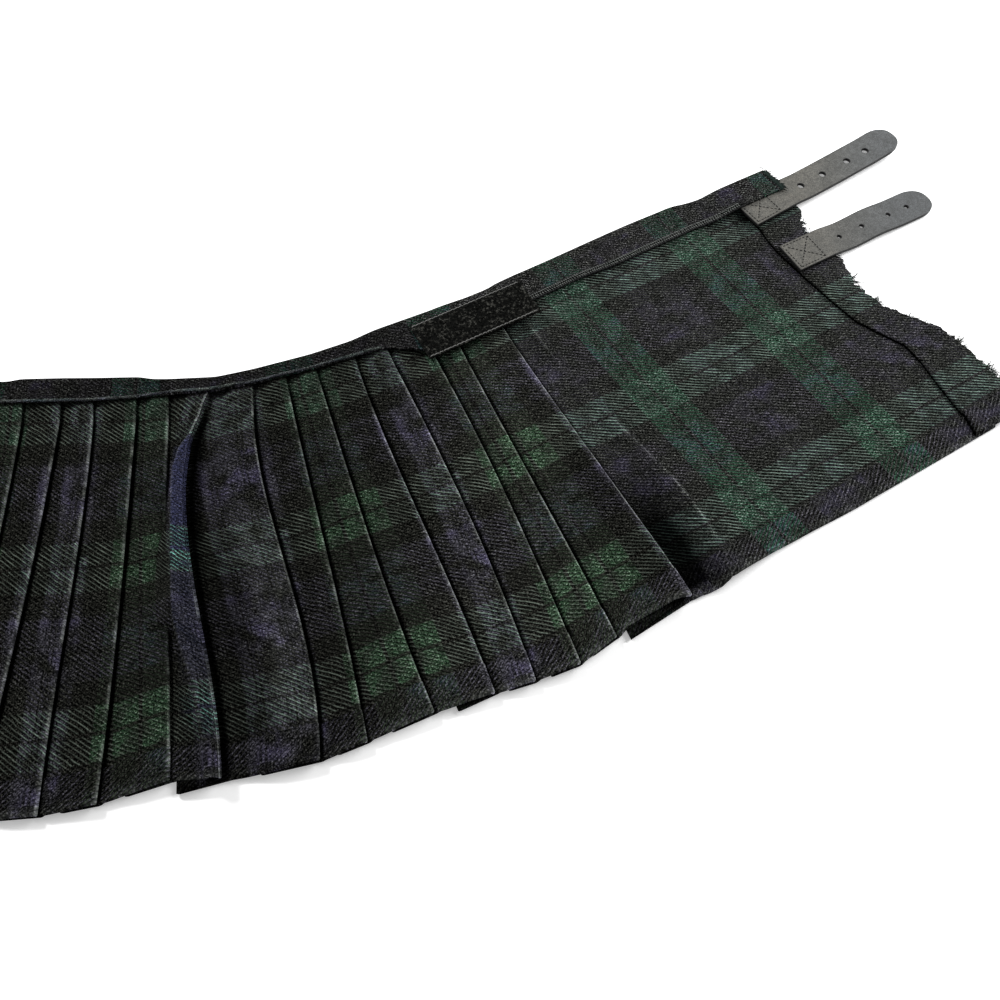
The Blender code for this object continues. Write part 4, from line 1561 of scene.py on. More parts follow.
@dataclass
class UnderApron(Panel):
    """The plain under-apron, with the first pleat's edge and its hidden back.

    flat_until is the part of its gap where it begins to rise over the pleat's back.
    """

    flat_until: float = 0.79
    flat_columns: int = 46

    def stations(self) -> list[Station]:
        """Lay out the panel's columns, from left to right along the cloth.

        Returns:
            The columns.
        """
        parts = np.linspace(0.0, self.flat_until, self.flat_columns)
        columns = [Station(0, float(part), 0.0, 0.0, 1.0) for part in parts]
        columns += [Station(0, 1.0, -APRON_TUCK - before, level, 1.0)
                    for before, level in ((13.0, 0.0), (9.0, 0.6), (5.0, 1.5), (2.0, 2.0))]
        # Its pressed edge takes wear and painted highlight.
        columns += [Station(0, 1.0, -6.0, 2.0, 1.0), Station(0, 1.0, -FOLD_RADIUS, 2.0, 1.0, 0.45)]
        columns += pressed_edge(0)
        columns += [Station(0, 1.0, -APRON_TUCK + 3.0, 1.0, 0.0, 0.0, 3.0)]
        return columns

    def extra_height(self, station: Station, v: np.ndarray) -> np.ndarray:
        """Return how far a column stands above its layer."""
        near = eased(station.part, 0.95, 1.0) if station.level >= 1.0 else 0.0
        return FOLD_LINES[FIRST_FOLD].lift * near * eased(v, *LIFTED)


@dataclass
class Pleats(Panel):
    """The pleated back: sixteen knife pleats with their hidden layers.

    last_lift is how much further the last pleat stands up at the hem, and last_shade how much
    painted shade darkens its lower half. A painted highlight runs down the crest of the open pleat,
    with a crown beside it, and beyond that pleat the cloth lies low in a trough darkened with
    painted shade, with more painted light and shade across it.
    """

    columns_a_front: int = 13
    more_when_open: int = 14
    last_lift: float = 2.6
    last_shade: float = 0.4
    highlight_at: float = 0.4
    highlight_width: float = 1.1
    trough_shade: float = 0.8
    trough_width: float = 7.0
    crown_height: float = 0.7
    crown_at: float = -1.4
    crown_width: float = 1.6

    def stations(self) -> list[Station]:
        """Lay out the panel's columns, from left to right along the cloth.

        Returns:
            The columns.
        """
        columns = [Station(0, 1.0, -APRON_TUCK + 1.0, 0.0)]
        for gap in range(FIRST_FOLD, LAST_FOLD):
            if gap > FIRST_FOLD:
                for angle in np.radians((45.0, 90.0, 135.0, 180.0)):
                    shift = FOLD_RADIUS * (1.0 - math.sin(angle))
                    level = 0.5 + 0.5 * math.cos(angle)
                    columns.append(Station(gap - 1, tuck(gap - 1), shift, level))
            more = self.more_when_open if gap == OPEN_PLEAT else 0
            columns += pleat_front(gap, self.columns_a_front + more)
            columns += pressed_edge(gap)
            columns += [Station(gap, 0.7, 0.0, 1.0), Station(gap, tuck(gap), FOLD_RADIUS, 1.0)]
        return columns

    def extra_height(self, station: Station, v: np.ndarray) -> np.ndarray:
        """Return how far a column stands above its layer.

        Args:
            station: the column.
            v: places down the cloth.

        Returns:
            The heights.
        """
        fold = station.gap + 1
        if not FIRST_FOLD <= fold <= LAST_FOLD:
            return np.zeros_like(v)
        if station.gap == OPEN_PLEAT:
            return self.ridge(station, v)
        if station.level < 1.0:
            return np.zeros_like(v)
        lift = FOLD_LINES[fold].lift * eased(v, *LIFTED)
        if fold == LAST_FOLD:
            lift = lift + self.last_lift * eased(v, 0.72, 1.0)
        return lift * eased(station.part, TUCK, 1.0)

    def from_ridge(self, station: Station, v: np.ndarray) -> np.ndarray:
        """Return how far to the left of the open pleat's ridge a column is."""
        return (from_table(RIDGE_LINE, v) - station.part) * PLAN.width(station.gap, v)

    def facing(self, station: Station, v: np.ndarray) -> np.ndarray:
        """Return the painted highlight along the lit top of the pleat that stands open.

        Args:
            station: the column.
            v: places down the cloth.

        Returns:
            The shares.
        """
        if station.gap != OPEN_PLEAT or station.level < 1.0:
            return np.zeros_like(v)
        return from_table(RIBBON_PAINTED_LIGHT, v) * (1.0 - eased(self.from_ridge(station, v), -1.0, 0.4))

    def wear_and_painted_light(self, station: Station, v: np.ndarray) -> np.ndarray:
        """Return the wear and painted highlight at a column's edges, painted shade below zero.

        Args:
            station: the column.
            v: places down the cloth.

        Returns:
            The amounts, from -1 to 1.
        """
        plain = super().wear_and_painted_light(station, v)
        if station.gap == OPEN_PLEAT:
            if station.hem < 1.0:
                return plain * eased(v, 0.45, 0.62)
            # A painted highlight runs along the open pleat's crest.
            away = self.from_ridge(station, v) - self.highlight_at
            crest = np.exp(-(away / self.highlight_width) ** 2)
            return np.maximum(plain, from_table(RIBBON_CREST_HIGHLIGHT, v) * crest)
        if station.gap == OPEN_PLEAT + 1 and station.hem == 1.0:
            # Beyond the open pleat: painted shade in its trough, and painted light and shade across
            # it.
            beside = station.part * PLAN.width(station.gap, v) + station.shift
            trough = eased(v, 0.08, 0.2) * (1.0 - eased(v, 0.42, 0.6))
            trough = trough * (1.0 - eased(beside / self.trough_width, 0.2, 1.0))
            tone = from_table(OPEN_PLEAT_LIGHT_AND_SHADE, station.part) * eased(v, 0.3, 0.6)
            tone = np.where(v < HEM_TOP / DROP, tone, 0.4 * tone)
            deep = np.minimum(plain, -self.trough_shade * trough)
            return np.clip(deep + tone, -1.0, 1.0)
        if station.gap == LAST_FOLD - 1 and station.hem == 1.0:
            # Painted shade on the last pleat's lower half.
            dim = self.last_shade * eased(v, 0.5, 0.62)
            dim = dim * (0.5 + 0.5 * eased(station.part, 0.4, 0.7))
            return np.clip(plain - dim * (1.0 - eased(v, *HIDDEN_HEM)), -1.0, 1.0)
        return plain

    def ridge(self, station: Station, v: np.ndarray) -> np.ndarray:
        """Return the height of the pleat that stands open.

        Args:
            station: the column.
            v: places down the cloth.

        Returns:
            The heights.
        """
        if station.level < 1.0 and station.hem == 0.0:
            return np.zeros_like(v)
        away = self.from_ridge(station, v)
        top = eased_table(RIDGE_HEIGHTS, v)
        if station.hem > 0.0:
            flank = 1.0 - eased(away, -0.6, 3.6)
            settle = (2.0 - station.level) * LAYER * flank
            crown = np.exp(-((away - self.crown_at) / self.crown_width) ** 2) * eased(v, *LOOSE)
            crown = self.crown_height * crown * (1.0 - max(station.edge, 0.0))
            return top * flank + settle + crown
        return top * eased(station.part, TUCK, 1.0) * (0.9 if station.edge == 0.0 else 1.0)


@dataclass
class OverApron(Panel):
    """The over-apron, from under the last pleat to the free edge below the fringed strip.

    The soft fold's crest is pinched up and takes a painted highlight. fold_shade is how much
    painted shade darkens the cloth beside the last pleat, low_shade how much darkens it between
    there and the crest, and the hem's rim takes a painted highlight.
    """

    turned_columns: int = 18
    flat_columns: int = 74
    wave_height: float = 0.5
    wave_length: float = 62.0
    length: float = 160.0
    pinch: float = 0.25
    crest_width: float = 1.3
    crest_highlight: float = 0.9
    crest_highlight_width: float = 0.35
    fold_shade: float = 0.9
    hem_rim_highlight: float = 0.8
    low_shade: float = 0.25

    def stations(self) -> list[Station]:
        """Lay out the panel's columns, from left to right along the cloth.

        Returns:
            The columns.
        """
        columns = [Station(LAST_FOLD - 1, tuck(LAST_FOLD - 1), 1.0, 0.0)]
        # The first columns lie in painted shade beside the last pleat.
        columns += [Station(LAST_FOLD, 0.0, EDGE_CLEAR + past, 0.0, 1.0, shade)
                    for past, shade in ((0.0, -1.0), (0.9, -0.6), (1.8, 0.0))]
        columns += [Station(LAST_FOLD, float(part), EDGE_CLEAR * (1.0 - part), 0.0, 1.0)
                    for part in np.linspace(0.14, 0.88, self.turned_columns)]
        columns += [Station(LAST_FOLD, 1.0, shift, 0.0, 1.0) for shift in (-1.2, -0.4, 0.0)]
        columns += [Station(SOFT_FOLD, 0.0, shift, 0.0, 1.0) for shift in (0.4, 1.2, 2.2)]
        columns += [Station(SOFT_FOLD, float(part), 0.0, 0.0, 1.0)
                    for part in np.linspace(0.022, 1.0, self.flat_columns)]
        return columns

    def extra_height(self, station: Station, v: np.ndarray) -> np.ndarray:
        """Return the height of the soft fold and the broad waves.

        Args:
            station: the column.
            v: places down the cloth.

        Returns:
            The heights.
        """
        fold = eased_table(SOFT_FOLD_HEIGHTS, v)
        across = math.exp(-(station.shift / self.crest_width) ** 2)
        pinch = self.pinch * from_table(SOFT_FOLD_LINE, v) * across
        if station.gap == LAST_FOLD:
            pinch = pinch if station.part == 1.0 else 0.0
            return fold * eased(station.part, 0.3, 1.0) ** 1.5 + pinch
        if station.gap != SOFT_FOLD:
            return np.zeros_like(v)
        near = station.part + station.shift / self.length
        spot = PLAN.place(SOFT_FOLD, station.part, station.shift, v)
        wave = 0.5 - 0.5 * np.cos((spot[:, 0] + 0.6 * spot[:, 1]) * math.tau / self.wave_length)
        calm = eased(near, 0.12, 0.3) * (1.0 - eased(near, 0.62, 0.8)) * eased(v, *LOOSE)
        pinch = pinch if station.part == 0.0 else 0.0
        return fold * (1.0 - eased(near, 0.0, 0.3)) ** 1.6 + self.wave_height * wave * calm + pinch

    def wear_and_painted_light(self, station: Station, v: np.ndarray) -> np.ndarray:
        """Return the painted highlight on the soft fold's crest, and the painted shade by the last
        pleat.

        Args:
            station: the column.
            v: places down the cloth.

        Returns:
            The amounts, from -1 to 1.
        """
        if (station.gap, station.part) in ((LAST_FOLD, 1.0), (SOFT_FOLD, 0.0)):
            # Painted highlight along the soft fold's crest.
            across = math.exp(-(station.shift / self.crest_highlight_width) ** 2)
            return self.crest_highlight * from_table(SOFT_FOLD_LINE, v) * across
        plain = super().wear_and_painted_light(station, v)
        if station.gap != LAST_FOLD or station.hem == 0.0:
            return plain
        # Painted shade beside the last pleat and below the crest, and a painted highlight on the
        # hem's rim.
        deep = self.fold_shade * eased(v, 0.6, 0.88) * (1.0 - eased(station.part, 0.3, 0.9))
        deep = np.minimum(plain, -deep * (1.0 - eased(v, 0.97, 0.99)))
        rim = self.hem_rim_highlight * eased(v, *HEM_RIM)
        return np.clip(deep + rim - self.low_shade * eased(v, 0.5, 0.7), -1.0, 1.0)


# ---- waistband --------------------------------------------------------------------------------
# The band's section: its outside as parts of its length, the turn over the waist edge in degrees,
# its inside as parts of its width, and its lower edge as (millimetres back from it, how raised).
BAND_OUTSIDE = (1.0, 0.6, 0.3, 0.1)
BAND_TURNS = (-75.0, -45.0, -15.0, 15.0, 45.0, 75.0)
BAND_INSIDE = (0.08, 0.18, 0.3, 0.42, 0.54, 0.66, 0.74)
BAND_EDGE = (
    (3.9, 0.0), (3.2, 0.0), (2.6, 0.0), (2.0, 0.0), (1.4, 0.15), (0.7, 0.35), (0.0, 0.1),
)
# Rows of that section, counted from the lower edge: how much painted shade lies on the sewn ones,
# as (row, amount), and which ones along the top are made lighter.
BAND_SEWN_ROWS = ((0, 0.7), (3, 0.7), (4, 0.95), (5, 0.9))
BAND_TOP_ROWS = slice(15, 19)


@dataclass(frozen=True)
class BandStop:
    """A place along the waistband.

    layers counts the pleat layers above the first one inside the band, and share says how much of
    the fringed strip and the strap's end lies there too.
    """

    gap: int
    part: float
    shift: float = 0.0
    layers: float = 0.0
    share: float = 0.0

    @property
    def after(self) -> float:
        """Return the fold line that it lies after, with the part of the way to the next one."""
        return self.gap + self.part + (self.shift / APRON_WAIST if self.part == 1.0 else 0.0)


def band_stops() -> list[BandStop]:
    """Lay out the places along the waistband where what lies inside it changes.

    Returns:
        The places, from left to right.
    """
    stops = [BandStop(0, part) for part in (0.0, 0.16, 0.33, 0.49, 0.60, 0.66, 0.79)]
    stops += [BandStop(0, 0.845, 0.0, 2.0)]
    stops += [BandStop(gap, 0.0, 0.0, 2.0) for gap in range(FIRST_FOLD, LAST_FOLD + 1)]
    stops += [BandStop(LAST_FOLD, 0.0, 3.0, 2.0), BandStop(LAST_FOLD, 0.7, 0.0, 1.0)]
    stops += [BandStop(SOFT_FOLD, 0.06, 0.0, 0.15)]
    stops += [BandStop(SOFT_FOLD, part) for part in (0.18, 0.34, 0.5, 0.66)]
    ends = ((-40.0, 0.0), (-32.0, 0.35), (-24.0, 0.8), (-17.0, 1.0), (0.0, 1.0), (14.0, 0.95))
    return stops + [BandStop(SOFT_FOLD, 1.0, shift, 0.0, share) for shift, share in ends]


@dataclass(frozen=True)
class BandLine:
    """The waistband at close steps along it.

    waist is its upper edge and down the direction from there to the hem, low and high are the
    heights of its outside and its inside, width is the inside's, run is the distance along the
    band, and after is the fold line that the step lies after.
    """

    waist: np.ndarray
    down: np.ndarray
    low: np.ndarray
    high: np.ndarray
    width: np.ndarray
    run: np.ndarray
    after: np.ndarray

    def reached(self, fold: float) -> float:
        """Return how far along the band a fold line is."""
        return float(np.interp(fold, self.after, self.run))

    def read(self, at: np.ndarray | float, amounts: np.ndarray) -> np.ndarray | float:
        """Return amounts known at the steps for other distances along the band."""
        return np.interp(at, self.run, amounts)

    def spot(self, at: np.ndarray | float, reach: np.ndarray | float, height: float) -> np.ndarray:
        """Return places on the band's inside.

        Args:
            at: distances along the band.
            reach: how far below its upper edge they are.
            height: how far above the middle of its cloth.

        Returns:
            One (x, y, z) for each.
        """
        ground = [self.read(at, self.waist[:, k]) + self.read(at, self.down[:, k]) * reach
                  for k in (0, 1)]
        return np.stack((*ground, self.read(at, self.high) + height), axis=-1)


@dataclass(frozen=True)
class Roll:
    """A cord of the band's own cloth along its lower edge.

    ends are the fold lines between which it runs, inset is how far its middle lies inside the
    band's edge, squash its height as part of its width, and shade how much lighter and paler it
    is, or below zero how much painted shade darkens it.
    """

    name: str
    ends: tuple[float, float]
    inset: float
    radius: float
    squash: float
    shade: float
    finish: Finish
    step: float = 0.8
    height: float = 0.65
    sides: int = 11
    wall: float = 0.3
    sway: float = 0.35
    sway_length: float = 9.0
    lay: float = 5.2

    def build(self, line: BandLine) -> bpy.types.Object:
        """Roll the cord up.

        Args:
            line: the band's steps.

        Returns:
            The cord.
        """
        start, end = (line.reached(fold) for fold in self.ends)
        run = np.arange(start, end, self.step)
        rng = random.Random(8)
        swings = [rng.uniform(-1.0, 1.0) for _ in range(int((end - start) / self.sway_length) + 3)]
        swing = np.interp(run, np.linspace(start, end, len(swings)), swings)
        reach = line.read(run, line.width) - self.inset + swing * self.sway
        spine = line.spot(run, reach, self.height)
        side = np.stack([line.read(run, line.down[:, k]) for k in (0, 1)], axis=1)
        radius = self.radius * (0.86 + 0.1 * np.sin(run * 0.9) ** 2 + 0.08 * swing)
        radius = radius * np.clip((end - run) / 4.0, 0.25, 1.0)
        angles = np.linspace(0.0, math.tau, self.sides)[::-1]
        spots = np.empty((self.sides, len(run), 3))
        for k, angle in enumerate(angles):
            thick = radius * (1.0 + 0.10 * np.cos(angle * 2.0 - run * math.tau / self.lay))
            spots[k, :, :2] = spine[:, :2] - side * (math.cos(angle) * thick)[:, None]
            spots[k, :, 2] = spine[:, 2] + math.sin(angle) * thick * self.squash
        around = -angles * self.radius * 1.5
        cloth = ClothGrid(self.name, spots, np.repeat(run[None, :], self.sides, axis=0),
                          np.repeat(around[:, None], len(run), axis=1),
                          np.full(spots.shape[:2], self.wall), np.full(spots.shape[:2], self.shade))
        item = cloth.build(self.finish, offset=-1.0)
        declare(item)
        return item


@dataclass(frozen=True)
class SlipRow:
    """A row of slanting stitches on the band, as millimetres inside its edge and heights.

    Each stitch runs from outer to inner and from foot to head, and arches up between them.
    """

    outer: float
    inner: float
    foot: float
    head: float
    arch: float


@dataclass
class Waistband:
    """The band folded over the waist edge, with its rolled lower edge and its stitching.

    outside is how far it reaches down outside, turn how far it bulges past the waist edge and
    corner where its flat inside begins. ledge says between which fold lines it is sewn down, and
    the green of its pattern stands at green_at. The seams run seam_insets inside its lower edge,
    and the slip stitches keep slip_room from the ends of that stretch.
    """

    outside: float = 10.0
    turn: float = 1.5
    corner: float = 0.6
    strap_layer: float = 2.0
    roll_until: float = 14.0
    ledge: tuple[float, float] = (17.5, 18.92)
    edge_room: float = 4.4
    green_at: float = 18.18
    shrunk: float = 1.12
    map_start: float = 28.0
    pitch: float = 1.9
    smoothing: tuple[float, ...] = (0.1, 0.2, 0.4, 0.2, 0.1)
    seam_insets: tuple[float, float] = (3.2, -0.05)
    stitch_pitch: float = 2.6
    stitch_share: float = 0.93
    thread: float = 0.46
    slip_rows: tuple[SlipRow, ...] = (SlipRow(2.9, 1.75, 0.75, 0.95, 0.45),
                                      SlipRow(1.05, 0.1, 1.15, 0.55, 0.3))
    slip_room: tuple[float, float] = (12.0, 4.0)
    slip_thread: float = 0.36
    torn_threads: int = 150
    torn_thread: float = 0.2
    torn_root: float = 1.4
    torn_parts: int = 5

    def route(self) -> BandLine:
        """Return the band at close steps, smoothed between its stops.

        Returns:
            The steps.
        """
        at_waist = np.array((0.0,))
        rows = []
        for stop in band_stops():
            waist = PLAN.place(stop.gap, stop.part, stop.shift, at_waist)[0]
            low = PLAN.rest(stop.gap, stop.part, stop.shift, at_waist)[0] - LAYER + CLOTH / 2
            inside = CLOTH + stop.layers * LAYER + stop.share * (LAYER + self.strap_layer + GAP)
            rows.append([*waist, *PLAN.down(stop.gap, stop.part), low, low + LAYER + inside + GAP,
                         PLAN.band(stop.gap, stop.part), stop.after])
        table = np.array(rows)
        lengths = np.linalg.norm(np.diff(table[:, :2], axis=0), axis=1)
        reached = np.concatenate(([0.0], np.cumsum(lengths)))
        run = np.linspace(0.0, reached[-1], int(reached[-1] / self.pitch))
        fine = np.stack([np.interp(run, reached, column) for column in table.T], axis=1)
        for k in range(4):
            padded = np.pad(fine[:, k], 2, mode="reflect", reflect_type="odd")
            fine[:, k] = np.convolve(padded, self.smoothing, "valid")
        down = fine[:, 2:4] / np.linalg.norm(fine[:, 2:4], axis=1, keepdims=True)
        low, high, width, after = fine[:, 4:].T
        above = eased_table(BAND_ABOVE, after)
        waist = fine[:, :2] - down * above[:, None]
        width = width + above * eased_table(BAND_WIDER, after)
        return BandLine(waist, down, low, high, width, run, after)

    def section(self, line: BandLine) -> np.ndarray:
        """Return the middle of the band's cloth round its section.

        Args:
            line: the band's steps.

        Returns:
            One (x, y, z) for each step and place round the section, from outside to inside.
        """
        rng = random.Random(3)
        lumps = [rng.uniform(-1.0, 1.0) for _ in range(len(line.run) // 6 + 3)]
        lump = np.interp(line.run, np.linspace(0.0, line.run[-1], len(lumps)), lumps)
        rolled = 1.0 - eased(line.after, self.roll_until - 0.4, self.roll_until + 0.3)
        flat = line.width - self.corner
        columns = [(self.outside * part, line.low) for part in BAND_OUTSIDE]
        for angle in np.radians(BAND_TURNS):
            rise = (math.sin(angle) + 1.0) / 2.0
            columns.append((self.corner - (self.turn + self.corner) * math.cos(angle),
                            line.low + (line.high - line.low) * rise))
        for part in BAND_INSIDE:
            hollow = -0.25 * math.sin(math.pi * part) * (1.0 + 0.5 * lump)
            columns.append((self.corner + flat * part, line.high + hollow))
        tight = np.minimum((1.0 - BAND_INSIDE[-1]) * flat / self.edge_room, 1.0)
        columns += [(line.width - back * tight, line.high + raised * rolled * 0.8)
                    for back, raised in BAND_EDGE]
        spots = np.empty((len(line.run), len(columns), 3))
        for k, (reach, height) in enumerate(columns):
            reaches = np.broadcast_to(reach, len(line.run))
            spots[:, k, :2] = line.waist + line.down * reaches[:, None]
            spots[:, k, 2] = height
        return spots

    def shades(self, line: BandLine, rows: int) -> np.ndarray:
        """Return the painted shade along the band's sewn edge, and how much lighter its top is.

        Args:
            line: the band's steps.
            rows: how many rows its section has.

        Returns:
            An amount for each row and step.
        """
        start, end = self.ledge
        sewn = eased(line.after, start, start + 0.4) * (1.0 - eased(line.after, end - 0.03, end))
        shades = np.zeros((rows, len(line.run)))
        for row, amount in BAND_SEWN_ROWS:
            shades[row] = -amount * sewn
        shades[BAND_TOP_ROWS] = 0.25
        return shades

    def build(self) -> list[bpy.types.Object]:
        """Shape the band, its rolled edge and its seams.

        Returns:
            The pieces.
        """
        line = self.route()
        spots = self.section(line)
        gaps = np.linalg.norm(np.diff(spots, axis=1), axis=-1)
        around = np.concatenate((np.zeros((len(gaps), 1)), np.cumsum(gaps, axis=1)), axis=1)
        beyond = line.run - line.reached(self.green_at)
        beyond = np.where(beyond > 0.0, beyond * self.shrunk, beyond)
        middle = spots.transpose(1, 0, 2)[::-1]
        grid = ClothGrid("waistband_cloth", underside(middle),
                         np.repeat(beyond[None, :], len(middle), axis=0),
                         self.map_start + around[:, ::-1].T, np.full(middle.shape[:2], CLOTH),
                         self.shades(line, len(middle)))
        band = grid.build(Finish.BAND)
        declare(band, "waistband")
        # The roll is made lighter and paler; the ledge is darkened all over with painted shade.
        rolls = (Roll("waistband_roll", (0.0, self.roll_until), inset=0.9, radius=0.95,
                      squash=0.9, shade=0.35, finish=Finish.ROLLED),
                 Roll("waistband_ledge", self.ledge, inset=1.25, radius=0.85, squash=0.6,
                      shade=-0.8, finish=Finish.BAND))
        return [band, *[roll.build(line) for roll in rolls], self.torn_end(line), *self.seams(line)]

    def torn_end(self, line: BandLine) -> bpy.types.Object:
        """Fray the band's free end into short threads.

        Args:
            line: the band's steps.

        Returns:
            The threads.
        """
        rng = random.Random(73)
        ahead = line.waist[-1] - line.waist[-3]
        ahead = ahead / np.linalg.norm(ahead)
        down = line.down[-1]
        paths = []
        for _ in range(self.torn_threads):
            reach = rng.uniform(0.02, 1.0) * line.width[-1]
            length = rng.uniform(1.0, 3.2) * (0.6 + 0.7 * math.sin(reach * 1.9) ** 2)
            turn = rng.gauss(0.25, 0.55)
            curl = rng.gauss(0.0, 0.7)
            root = line.waist[-1] + down * reach - ahead * self.torn_root
            path = [np.array((*root, line.high[-1] + CLOTH / 2 - 0.1))]
            step = (length + self.torn_root) / self.torn_parts
            for k in range(self.torn_parts):
                turn += curl / 4.0
                way = ahead * math.cos(turn) + down * math.sin(turn)
                lift = 0.3 if k < 2 else -0.35
                path.append(path[-1] + np.array((*(way * step), lift)))
            paths.append(np.array(path))
        threads = dress(open_curve("waistband_torn_end", paths, self.torn_thread, 1),
                        Finish.FRAYED)
        declare(threads)
        return threads

    def seams(self, line: BandLine) -> list[bpy.types.Object]:
        """Sew the band's two long seams past the loop patch, and the short stitches beside them.

        Args:
            line: the band's steps.

        Returns:
            The rows.
        """
        start, end = (line.reached(fold) for fold in self.ledge)
        pieces = []
        for name, inset in zip(("waistband_seam_upper", "waistband_seam_lower"), self.seam_insets):
            def seam(place: float, inset: float = inset) -> np.ndarray:
                """Return the place at a distance along the seam."""
                at = start + place
                return line.spot(at, line.read(at, line.width) - inset, CLOTH / 2 - 0.15)
            row = stitches(name, seam, end - start, self.stitch_pitch, Finish.DARK_THREAD,
                           self.thread, self.stitch_share)
            declare(row)
            pieces.append(row)
        first, last = self.slip_room
        return [*pieces, self.slip_stitches(line, start + first, end - last)]

    def slip_stitches(self, line: BandLine, start: float, end: float) -> bpy.types.Object:
        """Sew rows of short thick stitches side by side.

        Args:
            line: the band's steps.
            start: distance along the band at which they start.
            end: distance at which they end.

        Returns:
            The stitches.
        """
        rng = random.Random(61)
        paths, radii = [], []
        for row in self.slip_rows:
            at = start
            while at < end:
                width = line.read(at, line.width)
                lean = rng.uniform(0.5, 0.9)
                path = []
                for share in (0.0, 0.33, 0.67, 1.0):
                    inset = row.outer + (row.inner - row.outer) * share
                    arch = row.arch * math.sin(math.pi * share)
                    path.append(line.spot(at + lean * share, width - inset,
                                          row.foot + (row.head - row.foot) * share + arch))
                paths.append(np.array(path))
                radii.append(np.array((0.6, 1.0, 1.0, 0.6)) * rng.uniform(0.7, 1.1))
                at += rng.uniform(1.15, 1.6)
        slip = open_curve("waistband_slip_stitches", paths, self.slip_thread, 1, radii=radii)
        dress(slip, Finish.STITCH)
        declare(slip)
        return slip


# ---- fringed strip ----------------------------------------------------------------------------
@dataclass(frozen=True)
class StripRow:
    """A row of the fringed strip: v, its left edge and the outer end of its fringe."""

    v: float
    left: float
    fringe: float


STRIP_ROWS = tuple(StripRow(*row) for row in (
    (0.015, 0.0, 31.0), (0.06, 0.0, 32.0), (0.11, 0.0, 33.0), (0.165, 0.0, 33.0),
    (0.21, -2.0, 25.5), (0.26, -3.0, 24.0), (0.37, -2.5, 27.0), (0.46, -1.6, 21.0),
    (0.56, 0.0, 23.5), (0.61, 4.0, 29.0), (0.69, 11.0, 38.0), (0.76, 10.0, 40.5),
    (0.83, 7.0, 40.5), (0.932, 4.0, 40.0), (0.94, 4.0, 40.0), (1.0, 0.0, 40.0),
))


